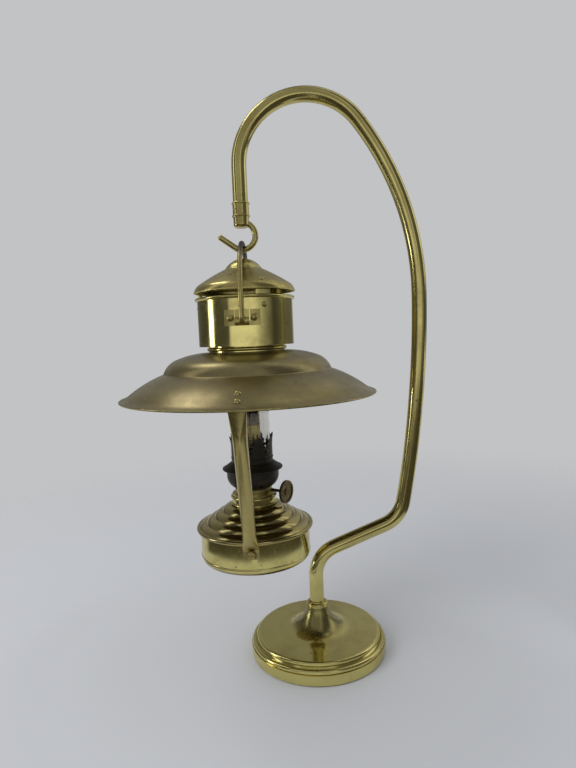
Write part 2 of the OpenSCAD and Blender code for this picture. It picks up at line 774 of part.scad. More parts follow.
module vent_drum() {
    color(brass) at_lamp() difference() {
        rotate_extrude() {
            translate([drum_r - sheet_t, 0]) square([sheet_t, drum_h]);
            translate([shade_hole_r, 0]) square([drum_r - shade_hole_r, sheet_t]);
            translate([drum_r + lip_r / 3, drum_h]) circle(lip_r);
        }
        for (turn = tab_turns)
            radially(turn, drum_r - past, tab_rivet_z) cylinder(r = rivet_hole_r, h = 2 * past);
        for (turn = [0, 180], side = [-1, 1])
            radially(turn + side * ear_rivet_turn, drum_r - past, ear_rivet_z)
                cylinder(r = rivet_hole_r, h = 2 * past);
    }
}

// Draws a piece square to the dome at a tab's rivet.
module on_dome(turn) {
    radially(turn, dome_rivet[0], dome_rivet[1], 90 - dome_rivet[2]) children();
}

module cap_dome() {
    color(dull_brass) at_lamp() difference() {
        rotate_extrude() {
            spun_wall(dome_profile, sheet_t);
            translate([dome_r - sheet_t / 2, dome_rim_z + dome_bead_r / 3]) circle(dome_bead_r);
        }
        for (turn = tab_turns)
            on_dome(turn) translate([0, 0, -past]) cylinder(r = rivet_hole_r, h = 2 * past);
    }
}

// A tab stands inside the drum and leans in under the dome.
tab_lean = 50;
function tab_line(r, gap) =
    let (top = [for (p = under(tab_crown, gap)) if (p[0] < r) p], end = last(top))
    concat([[r, tab_foot_z], [r, end[1] - (r - end[0]) * tan(tab_lean)]], reversed(top));
tab_edge = tab_line(tab_r, sheet_t + fixed_fit);
tab_face = tab_line(tab_r - tab_t, sheet_t + fixed_fit + tab_t);

module cap_tab(turn) {
    arc_w = tab_w / tab_r * 180 / PI;
    color(brass) at_lamp() difference() {
        rotate([0, 0, turn - 90 - arc_w / 2])
            rotate_extrude(angle = arc_w) polygon(concat(tab_edge, reversed(tab_face)));
        radially(turn, tab_r - past, tab_rivet_z) cylinder(r = rivet_hole_r, h = 2 * past);
        on_dome(turn) translate([0, 0, -2 * past]) cylinder(r = rivet_hole_r, h = 3 * past);
    }
}

module cap_tab_front() { cap_tab(tab_turns[0]); }
module cap_tab_rear() { cap_tab(tab_turns[1]); }
module cap_tab_left() { cap_tab(tab_turns[2]); }

module cap_rivets() {
    small = rivet_head_r * 0.8;
    grip = sheet_t + tab_t + 3 * fixed_fit + head_lift + rivet_slack;
    color(brass) at_lamp() for (turn = tab_turns) {
        radially(turn, drum_r + head_lift, tab_rivet_z) rivet(grip, small, rivet_r);
        on_dome(turn) translate([0, 0, head_lift]) rivet(grip, small, rivet_r);
    }
}

module neck_collar() {
    bead_r = neck_h / 3;
    color(brass) at_lamp() rotate_extrude() {
        translate([shade_hole_r, -neck_h + fixed_fit])
            square([neck_r - bead_r - shade_hole_r, neck_h - 2 * fixed_fit]);
        translate([neck_r - bead_r, -neck_h / 2]) circle(bead_r);
    }
}

// A flanged eyelet clamps shade, collar and drum together.
module neck_eyelet() {
    flange = 3;
    low = shade_top - sheet_t - fixed_fit - rivet_slack;
    color(brass) at_lamp() {
        ring(draught_r, draught_r + eyelet_t, low, sheet_t + fixed_fit - low);
        ring(draught_r, draught_r + flange, sheet_t + fixed_fit, eyelet_t);
        ring(draught_r, draught_r + flange, low - eyelet_t, eyelet_t);
    }
}

module shade() {
    color(dull_brass) at_lamp() difference() {
        rotate_extrude() {
            spun_wall(shade_profile, sheet_t);
            translate([last(brim_edge)[0], last(brim_edge)[1] - sheet_t / 2]) circle(sheet_t);
        }
        strap_rivet_places() translate([0, 0, -2 * past]) cylinder(r = rivet_hole_r, h = 3 * past);
    }
}

// The places of the rivets that hold the straps under the brim.
module strap_rivet_places() {
    for (turn = [0, 180], step = [-0.5, 0.5]) {
        p = on_brim(tab_mid_r + step * strap_rivet_apart * cos(tab_mid[2]));
        radially(strap_turn + turn, p[0], p[1], 90 - tab_mid[2]) children();
    }
}

// Straps: a tube swept along its knots and squeezed flat at both ends.
function unit(v) = v / norm(v);
function corner(a, b, c, r) =
    let (u = unit(a - b), v = unit(c - b), half = acos(u * v) / 2, d = r / tan(half))
    [for (i = [0 : 6]) let (t = i / 6)
        (1 - t) * (1 - t) * (b + u * d) + 2 * t * (1 - t) * b + t * t * (b + v * d)];
function stretch(a, b, step) =
    let (n = max(1, ceil(norm(b - a) / step)))
    [for (i = [1 : n - 1]) a + (b - a) * i / n];
strap_turns = [for (i = [1 : len(strap_knots) - 2])
    corner(strap_knots[i - 1], strap_knots[i], strap_knots[i + 1], strap_radii[i])];
strap_line = concat(
    [strap_knots[0]],
    [for (i = [0 : len(strap_turns) - 1]) each concat(
        stretch(i == 0 ? strap_knots[0] : last(strap_turns[i - 1]), strap_turns[i][0], 6),
        strap_turns[i])],
    stretch(last(last(strap_turns)), last(strap_knots), 6),
    [last(strap_knots)]);
function run_to(i) = i == 0 ? 0 : run_to(i - 1) + norm(strap_line[i] - strap_line[i - 1]);
strap_run = [for (i = [0 : len(strap_line) - 1]) run_to(i)];
strap_foot_flat = norm(strap_knots[1] - strap_knots[0]) + norm(strap_knots[2] - strap_knots[1]);
strap_head_flat = 2 * (tab_reach + tab_over);
// How round the strap is at a place: 0 is flat and 1 is a full tube.
function roundness(s) = max(0, min(1,
    (s - strap_foot_flat) / strap_foot_blend,
    (last(strap_run) - strap_head_flat - s) / strap_head_blend));
// The strap's section is two half rounds with a flat between them, which is widest where it is squeezed.
function strap_ring(i) =
    let (
        a = strap_line[max(0, i - 1)],
        b = strap_line[min(len(strap_line) - 1, i + 1)],
        along = unit(b - a),
        q = roundness(strap_run[i]),
        w = strap_flat_w + (strap_d - strap_flat_w) * q,
        t = strap_flat_t + (strap_d - strap_oval - strap_flat_t) * q,
        n = strap_sides / 2)
    [for (end = [1, -1], k = [0 : n - 1])
        let (
            turn = 180 * k / (n - 1) - 90,
            across = end * ((w - t) / 2 + t / 2 * cos(turn)),
            out = end * t / 2 * sin(turn),
            p = strap_line[i] + out * [along[1], -along[0]])
        [across, -p[0], p[1]]];
module strap_tube() {
    rings = [for (i = [0 : len(strap_line) - 1]) strap_ring(i)];
    n = strap_sides;
    m = len(rings);
    polyhedron(
        points = [for (r = rings) each r],
        faces = concat(
            ring_faces(m, n, 0, false),
            [[for (k = [n - 1 : -1 : 0]) k]],
            [[for (k = [0 : n - 1]) (m - 1) * n + k]]),
        convexity = 4);
}

module strap(turn) {
    color(brass) at_lamp() difference() {
        rotate([0, 0, strap_turn + turn]) strap_tube();
        strap_rivet_places() translate([0, 0, -2 * past]) cylinder(r = rivet_hole_r, h = 3 * past);
        radially(strap_turn + turn, cup_r - past, screw_z) cylinder(r = screw_r + fixed_fit, h = 3 * past);
    }
}
module strap_front() { strap(0); }
module strap_rear() { strap(180); }

module strap_rivets() {
    grip = sheet_t + tab_gap + strap_flat_t + 2 * rivet_slack;
    color(brass) at_lamp() strap_rivet_places() translate([0, 0, rivet_slack])
        rivet(grip, rivet_head_r * 0.9, rivet_r);
}

// Slotted screws and their nuts hold the straps to the cup.
module cup_screws() {
    face = strap_in + strap_flat_t / 2 + fixed_fit;
    tail = cup_r - cup_t - nut_h - rivet_slack;
    color(brass) at_lamp() for (turn = [0, 180]) radially(strap_turn + turn, face, screw_z) difference() {
        union() {
            cylinder(r = screw_head_r, h = screw_head_h);
            translate([0, 0, tail - face]) cylinder(r = screw_r, h = face - tail);
        }
        translate([-screw_head_r, -screw_slot / 2, screw_head_h - screw_slot])
            cube([2 * screw_head_r, screw_slot, screw_head_h]);
    }
}

module cup_nuts() {
    color(brass) at_lamp() for (turn = [0, 180])
        radially(strap_turn + turn, cup_r - cup_t - rivet_slack - nut_h, screw_z) difference() {
            cylinder(r = nut_r, h = nut_h, $fn = 6);
            translate([0, 0, -past]) cylinder(r = screw_r + fixed_fit, h = nut_h + 2 * past);
        }
}

// Half section of a round can with a rounded lower corner.
module can_section(r, z, h, corner_r) {
    difference() {
        translate([0, z]) square([r, h]);
        difference() {
            translate([r - corner_r, z]) square([corner_r, corner_r]);
            translate([r - corner_r, z + corner_r]) circle(corner_r);
        }
    }
}

module fount_cup() {
    color(brass) at_lamp() difference() {
        rotate_extrude() {
            difference() {
                can_section(cup_r, cup_floor, cup_h, cup_corner);
                can_section(cup_r - cup_t, cup_floor + cup_t, cup_h, cup_corner - cup_t);
            }
            translate([cup_r - cup_bead_r / 2, cup_bead_z]) circle(cup_bead_r);
        }
        for (turn = [0, 180])
            radially(strap_turn + turn, cup_r - past, screw_z)
                cylinder(r = screw_r + fixed_fit, h = 2 * past);
    }
}

module fount_body() {
    wall_h = lid_under(fount_r) - fixed_fit - fount_z;
    color(brass) at_lamp() rotate_extrude() difference() {
        can_section(fount_r, fount_z, wall_h, cup_corner);
        can_section(fount_r - fount_t, fount_z + fount_t, wall_h, cup_corner - fount_t);
    }
}

module fount_lid() {
    color(brass) at_lamp() rotate_extrude() {
        spun_wall(lid_profile, lid_t);
        translate([lid_r, rim_z]) circle(lid_rim_r);
    }
}

module fount_collar() {
    color(brass) at_lamp() difference() {
        union() {
            ring(collar_bore_r, collar_r - fount_bead_r, lid_top + fixed_fit, collar_h - fixed_fit);
            for (z = [lid_top + collar_h * 0.15, collar_top - collar_h * 0.15])
                bead(collar_r - fount_bead_r, z, fount_bead_r);
        }
        cylinder(r = collar_bore_r, h = 2 * collar_h + abs(lid_top), center = true);
    }
}

// Draws a piece along the spindle: +Z here runs out to the knob, and z = 0 is nearest the wick.
module on_spindle() {
    at_lamp() translate([0, 0, spindle_z]) rotate([0, 0, -spindle_turn])
        translate([0, spindle_off, 0]) rotate([0, 90, 0]) children();
}

module burner_base() {
    seat = collar_top + fixed_fit;
    inside = burner_r - base_wall;
    floor_t = 1;
    color(brass) difference() {
        at_lamp() {
            ring(inside, burner_r, skirt_z, base_top - skirt_z);
            ring(wick_tube_r + wick_tube_t + fixed_fit, burner_r - base_wall / 2, skirt_z, floor_t);
            ring(inside, collar_r - 1.5 * base_wall, seat, base_flange_h);
            bead(burner_r - ring_bead_r / 7, base_top - 1.5 * ring_bead_r, ring_bead_r);
        }
        on_spindle() translate([0, 0, -burner_r * 1.5]) {
            cylinder(r = spindle_r + run_fit, h = burner_r * 3);
            translate([0, -spindle_r - run_fit, 0])
                cube([spindle_r + 2 * rest_gap, 2 * (spindle_r + run_fit), burner_r * 3]);
        }
    }
}

module burner_bowl() {
    color(black_brass) at_lamp() difference() {
        rotate_extrude() spun_wall(bowl_profile, bowl_t);
        for (i = [0 : bowl_hole_count - 1])
            radially(i * 360 / bowl_hole_count, bowl_hole[0], bowl_hole[1], 90 - bowl_hole[2])
                translate([0, 0, -past]) cylinder(r = bowl_hole_r, h = 2 * past);
    }
}

module burner_flange() {
    hole_count = 12;
    color(black_brass) at_lamp() difference() {
        rotate_extrude() {
            spun_wall(flange_profile, flange_t);
            translate([flange_r, last(flange_profile)[1] - flange_t / 2]) circle(flange_bead_r);
        }
        for (i = [0 : hole_count - 1]) rotate([0, 0, i * 360 / hole_count])
            translate([(wick_tube_r + chimney_r) / 2, 0, deck_z - 2 * flange_t])
                cylinder(r = flange_hole_r, h = 4 * flange_t);
    }
}

// Outline of one gallery finger: a broad root, two side points and a pointed leaf.
module finger_outline(w, h) {
    polygon([
        [-w * 0.50, 0], [-w * 0.38, h * 0.20], [-w * 0.45, h * 0.36], [-w * 0.26, h * 0.50],
        [-w * 0.24, h * 0.70], [0, h],
        [w * 0.24, h * 0.70], [w * 0.26, h * 0.50], [w * 0.45, h * 0.36],
        [w * 0.38, h * 0.20], [w * 0.50, 0]
    ]);
}

module diamond(h) {
    polygon([[-h / 4, 0], [0, -h / 2], [h / 4, 0], [0, h / 2]]);
}

// A round band with diamond holes. Its fingers flare a little away from the glass.
module burner_gallery() {
    foot = deck_z + fixed_fit;
    pitch = 360 / finger_count;
    finger_w = 2 * PI * gallery_r / finger_count * 0.94;
    finger_h = gallery_h - gallery_band_h;
    band_top = foot + gallery_band_h;
    root = gallery_t;
    reach = 5 * gallery_t;
    bend = finger_h / sin(gallery_flare);
    wall = concat(
        [[gallery_r, foot]],
        [for (i = [0 : 4]) let (a = gallery_flare * i / 4)
            [gallery_r + bend * (1 - cos(a)), band_top + bend * sin(a)]]);
    face = [for (p = wall) [p[0] + gallery_t, p[1]]];
    color(black_brass) at_lamp() {
        intersection() {
            rotate_extrude() polygon(concat(face, reversed(wall)));
            difference() {
                union() {
                    ring(gallery_r - reach, gallery_r + reach, foot - root, gallery_band_h + root);
                    for (i = [0 : finger_count - 1]) rotate([0, 0, (i + 0.5) * pitch])
                        translate([0, reach - gallery_r, band_top - root]) rotate([90, 0, 0])
                            linear_extrude(2 * reach) finger_outline(finger_w, finger_h + root);
                }
                for (i = [0 : finger_count - 1]) rotate([0, 0, i * pitch])
                    translate([0, reach - gallery_r, band_top - 2 * diamond_h / 3]) rotate([90, 0, 0])
                        linear_extrude(2 * reach) diamond(diamond_h);
            }
        }
        bead(gallery_r + gallery_t - fixed_fit * 2, foot + gallery_bead_z, gallery_t * 0.8);
    }
}

// The wick runs between the wick tube and the draught tube.
module wick_tube() {
    window_w = wheel_apart + 2 * wheel_w + 2 * wheel_room;
    color(brass) difference() {
        at_lamp() ring(wick_tube_r, wick_tube_r + wick_tube_t, wick_foot, wick_tube_top - wick_foot);
        on_spindle() translate([-wheel_r - wheel_room, -wheel_r - wheel_room, -window_w / 2])
            cube([2 * (wheel_r + wheel_room), wheel_r + wheel_room + wick_tube_t, window_w]);
    }
}

// A web joins the draught tube to the wick tube, on the far side from the star wheels.
module draught_tube() {
    web_l = wick_tube_r - fixed_fit - draught_tube_r + draught_tube_t / 2;
    tube_h = wick_tube_top - wick_foot - wick_tube_t;
    color(dull_brass) at_lamp() {
        ring(draught_tube_r - draught_tube_t, draught_tube_r, wick_foot, tube_h);
        rotate([0, 0, -spindle_turn]) translate([-web_t / 2, fixed_fit - wick_tube_r, wick_foot])
            cube([web_t, web_l, base_top - wick_foot]);
    }
}

// The wick is a strip rolled to a tube. Its edges leave a slit for the web.
// Two tails hang in the fount.
module wick() {
    slit = web_t + 2 * wick_gap;
    tail_h = wick_foot - wick_tail_z + wick_t;
    color([0.82, 0.80, 0.74]) at_lamp() rotate([0, 0, -spindle_turn]) {
        difference() {
            ring(wick_r - wick_t, wick_r, wick_foot, wick_top - wick_foot);
            translate([-slit / 2, -wick_r * 2, wick_foot - past])
                cube([slit, wick_r * 2, wick_top - wick_foot + 2 * past]);
        }
        intersection() {
            ring(wick_r - wick_t, wick_r, wick_tail_z, tail_h);
            translate([-wick_r * 2, -wick_tail_w / 2, wick_tail_z])
                cube([wick_r * 4, wick_tail_w, tail_h]);
        }
    }
}

module spindle() {
    color(brass) on_spindle() translate([0, 0, -spindle_tail])
        cylinder(r = spindle_r, h = spindle_tail + knob_out);
}

module star_wheel(side) {
    tooth = wheel_r * sin(180 / wheel_teeth) * 0.75;
    color(brass) on_spindle()
        translate([0, 0, side * (wheel_apart + wheel_w) / 2 - wheel_w / 2])
            linear_extrude(wheel_w) difference() {
                circle(wheel_r);
                circle(spindle_r + fixed_fit);
                for (i = [0 : wheel_teeth - 1])
                    rotate(i * 360 / wheel_teeth) translate([wheel_r, 0]) circle(tooth);
            }
}
module star_wheel_near() { star_wheel(-1); }
module star_wheel_far() { star_wheel(1); }

module wick_knob() {
    notch = knob_r * PI / knob_notches * 0.5;
    color(brass) on_spindle() translate([0, 0, knob_out - knob_t]) difference() {
        union() {
            linear_extrude(knob_t) difference() {
                circle(knob_r);
                for (i = [0 : knob_notches - 1])
                    rotate(i * 360 / knob_notches) translate([knob_r + notch * 0.3, 0]) circle(notch);
            }
            translate([0, 0, -knob_hub_h]) cylinder(r = knob_hub_r, h = knob_hub_h);
        }
        translate([0, 0, -past]) cylinder(r = spindle_r + fixed_fit, h = knob_t + 2 * past);
        ring(knob_hub_r, knob_r - knob_rim_w, knob_t - knob_dish, knob_dish + past);
    }
}

// A straight foot draws in to a narrow waist above the flame, and a plain tube goes on up.
module chimney() {
    waist = chimney_waist_z - chimney_z;
    mid = (chimney_r - chimney_draw + chimney_waist_r) / 2;
    half = (chimney_r - chimney_draw - chimney_waist_r) / 2;
    low = waist - chimney_shoulder * 2 / 3;
    side = [for (i = [0 : arc_steps])
        [mid + half * cos(180 * i / arc_steps), low + chimney_shoulder * i / arc_steps]];
    outer = concat([[chimney_r, 0]], side, [[chimney_top_r, chimney_h]]);
    inner = [for (p = outer) [p[0] - glass_t, p[1]]];
    color([0.85, 0.92, 0.95, 0.35]) at_lamp() translate([0, 0, chimney_z])
        rotate_extrude() polygon(concat(outer, reversed(inner)));
}

base_shell();
base_weight();
base_felt();
base_washer();
base_nut();
post_collar();
stand_tube();
hook_ferrule();
hook_end_cap();
hook();
bail();
bail_ear_front();
bail_ear_rear();
ear_rivets();
cap_dome();
cap_tab_front();
cap_tab_rear();
cap_tab_left();
cap_rivets();
vent_drum();
neck_collar();
neck_eyelet();
shade();
strap_front();
strap_rear();
strap_rivets();
cup_screws();
cup_nuts();
fount_cup();
fount_body();
fount_lid();
fount_collar();
burner_base();
burner_bowl();
burner_flange();
burner_gallery();
wick_tube();
draught_tube();
spindle();
star_wheel_near();
star_wheel_far();
wick_knob();
wick();
chimney();
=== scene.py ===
import math

import bmesh
import bpy
from mathutils import Matrix, Vector


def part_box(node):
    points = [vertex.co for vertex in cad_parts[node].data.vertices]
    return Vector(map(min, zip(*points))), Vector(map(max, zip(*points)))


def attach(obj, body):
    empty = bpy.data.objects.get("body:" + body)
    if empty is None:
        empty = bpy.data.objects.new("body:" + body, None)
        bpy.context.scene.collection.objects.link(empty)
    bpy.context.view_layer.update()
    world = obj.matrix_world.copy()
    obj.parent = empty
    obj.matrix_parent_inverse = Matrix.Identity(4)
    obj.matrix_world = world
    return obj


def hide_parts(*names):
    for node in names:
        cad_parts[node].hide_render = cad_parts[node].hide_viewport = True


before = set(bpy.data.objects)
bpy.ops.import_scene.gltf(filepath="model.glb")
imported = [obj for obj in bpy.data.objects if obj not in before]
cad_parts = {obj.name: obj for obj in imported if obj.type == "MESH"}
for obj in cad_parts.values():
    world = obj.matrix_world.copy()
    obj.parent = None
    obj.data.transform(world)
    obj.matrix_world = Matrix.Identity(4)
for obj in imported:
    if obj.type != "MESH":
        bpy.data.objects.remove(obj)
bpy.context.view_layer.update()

bl_info = {
    "name": "Hanging oil lamp",
    "version": (1, 0, 0),
    "blender": (4, 5, 0),
    "location": "View3D > Sidebar > Oil lamp",
    "description": "Dresses a brass hanging oil lamp on its gooseneck stand and sets up its studio stage",
    "category": "Object",
}

MM = 0.001


def middle(node):
    """The plan centre of a CAD node, as a vector at height zero."""
    low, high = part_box(node)
    return Vector(((low.x + high.x) / 2, (low.y + high.y) / 2, 0))


BASE_AXIS = middle("base_felt")
LAMP_AXIS = middle("fount_lid")

# Edges that bend more than this many degrees stay sharp when a piece is shaded smooth
BENT_TUBE = 28
SPUN_SHEET = 9
PRESSED_STRAP = 32
BLOWN_GLASS = 12

# How strongly each mark shows on brass
SPOT_DEPTH = 0.75
BAND_DEPTH = 0.16
CLOUD_DULLING = 0.10
SCRATCH_DEPTH = -0.3
LINE_RELIEF = 0.2 * MM

# How close small marks lie, for each metre
SPOTS_PER_METRE = 240.0
MOTTLES_PER_METRE = 900.0

# Points of the wick's mesh along one rib's width and one row's height
POINTS_PER_RIB = 6
POINTS_PER_ROW = 4

# The floor's side, and how far from the middle it starts and ends to fade, in metres
FLOOR_SIDE = 6
FADE_START = 0.35
FADE_END = 0.95

# The round room that metal mirrors, in metres, and the band of its walls at lamp height
ROOM_RADIUS = 2.0
ROOM_HEIGHT = 2.6
ROOM_SIDES = 96
BAND_MIDDLE = 0.34
BAND_HALF = 0.12
BAND_BLUR = 0.10

# The room's walls: degrees round from the camera to the right, brightness in the band and off it
ROOM = (
    (-180, 0.45, 0.24), (-165, 0.40, 0.25), (-150, 0.14, 0.30), (-125, 0.08, 0.20), (-93, 0.05, 0.12),
    (-88, 7.5, 1.6), (-82, 7.5, 1.6), (-78, 0.08, 0.10), (-58, 0.07, 0.10), (-48, 0.06, 0.60),
    (-40, 0.08, 0.24), (-32, 0.80, 0.30), (-4, 0.88, 0.32), (12, 0.86, 0.28), (26, 0.80, 0.60),
    (36, 0.50, 0.12), (72, 0.05, 0.10), (86, 0.07, 0.12), (93, 0.08, 0.95), (112, 0.11, 0.95),
    (119, 0.12, 0.45), (150, 0.12, 0.45), (165, 0.40, 0.30), (180, 0.45, 0.24),
)


# Settings that a user would change
class LampFinish(bpy.types.PropertyGroup):
    """Colours and finishes of the lamp's metals and wick"""

    clean_brass: bpy.props.FloatVectorProperty(
        name="Clean brass", description="Colour of polished brass",
        subtype="COLOR", size=3, min=0, max=1, default=(0.74, 0.66, 0.25))
    dull_brass: bpy.props.FloatVectorProperty(
        name="Dull brass", description="Colour of brass that has started to tarnish",
        subtype="COLOR", size=3, min=0, max=1, default=(0.48, 0.40, 0.15))
    shade_brass: bpy.props.FloatVectorProperty(
        name="Shade brass", description="Colour of the shade's brushed and tarnished brass",
        subtype="COLOR", size=3, min=0, max=1, default=(0.44, 0.37, 0.165))
    # Also the colour of the painted shade under the fount and its cup.
    brown_film_and_painted_shade: bpy.props.FloatVectorProperty(
        name="Brown film", description="Colour of the film on the shade and under the fount's cup",
        subtype="COLOR", size=3, min=0, max=1, default=(0.27, 0.22, 0.115))
    # Also the colour of the painted shade inside the shade and of the painted dark reflection on the base's
    # trumpet.
    brown_tarnish_and_painted_shade: bpy.props.FloatVectorProperty(
        name="Brown tarnish", description="Colour of the darkest tarnish",
        subtype="COLOR", size=3, min=0, max=1, default=(0.10, 0.07, 0.03))
    soot: bpy.props.FloatVectorProperty(
        name="Soot", description="Colour of the blackened burner",
        subtype="COLOR", size=3, min=0, max=1, default=(0.018, 0.014, 0.010))
    cotton: bpy.props.FloatVectorProperty(
        name="Cotton", description="Colour of the clean wick",
        subtype="COLOR", size=3, min=0, max=1, default=(0.58, 0.49, 0.39))
    polish: bpy.props.FloatProperty(
        name="Polish roughness", description="Roughness of the polished brass",
        subtype="FACTOR", min=0.02, max=0.6, default=0.13)
    spin_spacing: bpy.props.FloatProperty(
        name="Spin line spacing", description="Distance between the fine lines left by spinning",
        unit="LENGTH", precision=5, min=0.05 * MM, max=3 * MM, default=0.35 * MM)


class LampStage(bpy.types.PropertyGroup):
    """Camera, floor and light of the studio stage"""

    lens: bpy.props.FloatProperty(
        name="Lens", description="Focal length on a sensor 36 mm along the long side",
        unit="CAMERA", min=10, max=200, default=25.9)
    place: bpy.props.FloatVectorProperty(
        name="Camera place", description="Where the camera stands",
        subtype="TRANSLATION", unit="LENGTH", size=3, default=(-0.0184, -0.480, 0.2822))
    pitch: bpy.props.FloatProperty(
        name="Pitch", description="How far the camera looks down",
        subtype="ANGLE", default=math.radians(5.0))
    roll: bpy.props.FloatProperty(
        name="Roll", description="How far the camera leans to its right",
        subtype="ANGLE", default=math.radians(2.3))
    floor_colour: bpy.props.FloatVectorProperty(
        name="Floor", description="Colour of the floor",
        subtype="COLOR", size=3, min=0, max=1, default=(0.70, 0.71, 0.74))
    backdrop: bpy.props.FloatVectorProperty(
        name="Backdrop", description="Colour of the wall behind the lamp",
        subtype="COLOR", size=3, min=0, max=1, default=(0.54, 0.545, 0.555))
    mirrored: bpy.props.FloatProperty(
        name="Mirrored room", description="Brightness of the room that polished metal mirrors",
        min=0, max=4, default=1.0)
    sky: bpy.props.FloatProperty(
        name="Sky light", description="Strength of the even light from all round",
        min=0, max=2, default=0.55)
    key: bpy.props.FloatProperty(
        name="Key light", description="Power from which both soft lights are worked out",
        unit="POWER", min=0, max=200, default=8.0)


# Wiring of node trees
class Wiring:
    """Adds nodes to a tree and joins them in one line each."""

    def __init__(self, tree):
        self.tree = tree

    def node(self, kind, settings=None, **inputs):
        """A new node with its settings, and its inputs by name, with _ for a space."""
        made = self.tree.nodes.new(kind)
        for key, value in (settings or {}).items():
            setattr(made, key, value)
        for key, value in inputs.items():
            self.feed(made.inputs[key.replace("_", " ")], value)
        return made

    def group(self, tree, **inputs):
        """A shared shader group, with its own values for this material."""
        return self.node("ShaderNodeGroup", {"node_tree": tree}, **inputs)

    def feed(self, socket, value):
        """Joins a socket to another one, or sets its value."""
        if isinstance(value, bpy.types.NodeSocket):
            self.tree.links.new(value, socket)
        else:
            socket.default_value = value

    def place(self):
        """Where a point of the piece lies at rest."""
        return self.node("ShaderNodeTexCoord").outputs["Object"]

    def split(self, vector):
        """The three parts of a vector."""
        return self.node("ShaderNodeSeparateXYZ", Vector=vector).outputs

    def height(self):
        """How high a point of the piece lies at rest."""
        return self.split(self.place())["Z"]

    def maths(self, operation, a, b=0.0, c=0.0):
        """One step of arithmetic."""
        made = self.node("ShaderNodeMath", {"operation": operation})
        for socket, value in zip(made.inputs, (a, b, c)):
            self.feed(socket, value)
        return made.outputs[0]

    def length(self, a, b):
        """The distance that two lengths at right angles make."""
        return self.maths("SQRT", self.maths("MULTIPLY_ADD", a, a, self.maths("MULTIPLY", b, b)))

    def away(self, place, spot):
        """How far a place is from a spot."""
        made = self.node("ShaderNodeVectorMath", {"operation": "DISTANCE"})
        self.feed(made.inputs[0], place)
        self.feed(made.inputs[1], spot)
        return made.outputs["Value"]

    def remap(self, value, low, high, to_low=0.0, to_high=1.0):
        """A smooth step between two values."""
        made = self.node("ShaderNodeMapRange", {"interpolation_type": "SMOOTHSTEP"})
        for socket, number in zip(made.inputs[:5], (value, low, high, to_low, to_high)):
            self.feed(socket, number)
        return made.outputs[0]

    def noise(self, vector, scale, detail=3.0, rough=0.55):
        """Cloudy noise."""
        made = self.node("ShaderNodeTexNoise", Vector=vector, Scale=scale, Detail=detail, Roughness=rough)
        return made.outputs["Fac"]

    def mix(self, mask, a, b):
        """One colour over another where a mask says."""
        made = self.node("ShaderNodeMix", {"data_type": "RGBA", "clamp_factor": True})
        self.feed(made.inputs[0], mask)
        for socket, colour in ((made.inputs[6], a), (made.inputs[7], b)):
            self.feed(socket, colour if isinstance(colour, bpy.types.NodeSocket) else (*colour, 1.0))
        return made.outputs[2]

    def bump(self, shader, height, strength, distance):
        """Fine relief on a shader."""
        made = self.node("ShaderNodeBump", Strength=strength, Distance=distance, Height=height)
        self.feed(shader.inputs["Normal"], made.outputs[0])


# Shader node groups shared by the metals
def shader_group(name, inputs, outputs):
    """An empty shader node group with inputs and float outputs, and its wiring."""
    tree = bpy.data.node_groups.new(name, "ShaderNodeTree")
    for label, kind, default in inputs:
        socket = tree.interface.new_socket(name=label, in_out="INPUT", socket_type=kind)
        socket.default_value = default
    for label in outputs:
        tree.interface.new_socket(name=label, in_out="OUTPUT", socket_type="NodeSocketFloat")
    wires = Wiring(tree)
    return wires, wires.node("NodeGroupInput"), wires.node("NodeGroupOutput")


def spin_group():
    """Fine rings round an axis, as a spinning lathe leaves them."""
    found = bpy.data.node_groups.get("spin_lines")
    if found:
        return found
    wires, start, end = shader_group(
        "spin_lines",
        [("Axis", "NodeSocketVector", (0, 0, 0)), ("Spacing", "NodeSocketFloat", 0.35 * MM)],
        ["Lines", "Bands"])
    away = wires.node("ShaderNodeVectorMath", {"operation": "SUBTRACT"})
    wires.feed(away.inputs[0], wires.place())
    wires.feed(away.inputs[1], start.outputs["Axis"])
    x, y, z = wires.split(away.outputs[0])
    flat = wires.node("ShaderNodeCombineXYZ", X=wires.length(x, y), Y=z, Z=0.0)
    fine = wires.node("ShaderNodeVectorMath", {"operation": "SCALE"}, Vector=flat.outputs[0])
    wires.feed(fine.inputs["Scale"], wires.maths("DIVIDE", 1.0, start.outputs["Spacing"]))
    wires.feed(end.inputs["Lines"], wires.noise(fine.outputs[0], 0.5, 2.0))
    wires.feed(end.inputs["Bands"], wires.noise(fine.outputs[0], 0.05, 2.0))
    return wires.tree


def tarnish_group():
    """Cloudy patches of tarnish, with small dark spots."""
    found = bpy.data.node_groups.get("tarnish")
    if found:
        return found
    wires, start, end = shader_group(
        "tarnish",
        [("Patch size", "NodeSocketFloat", 0.03), ("Amount", "NodeSocketFloat", 0.4),
         ("Spots", "NodeSocketFloat", 0.3)],
        ["Clouds", "Spots", "Mottle"])
    place = wires.place()
    scale = wires.maths("DIVIDE", 1.0, start.outputs["Patch size"])
    cloud = wires.noise(place, scale, 6.0, 0.62)
    edge = wires.maths("SUBTRACT", 1.0, start.outputs["Amount"])
    clear = wires.maths("SUBTRACT", edge, 0.28)
    thick = wires.maths("ADD", edge, 0.12)
    wires.feed(end.inputs["Clouds"], wires.remap(cloud, clear, thick))
    cells = wires.node("ShaderNodeTexVoronoi", Vector=place, Scale=SPOTS_PER_METRE, Randomness=1.0)
    hue = wires.node("ShaderNodeSeparateColor", Color=cells.outputs["Color"])
    chosen = wires.maths("LESS_THAN", hue.outputs[0], start.outputs["Spots"])
    dots = wires.remap(cells.outputs["Distance"], 0.10, 0.32, 1.0, 0.0)
    wires.feed(end.inputs["Spots"], wires.maths("MULTIPLY", dots, chosen))
    wires.feed(end.inputs["Mottle"], wires.noise(place, MOTTLES_PER_METRE, 4.0, 0.6))
    return wires.tree


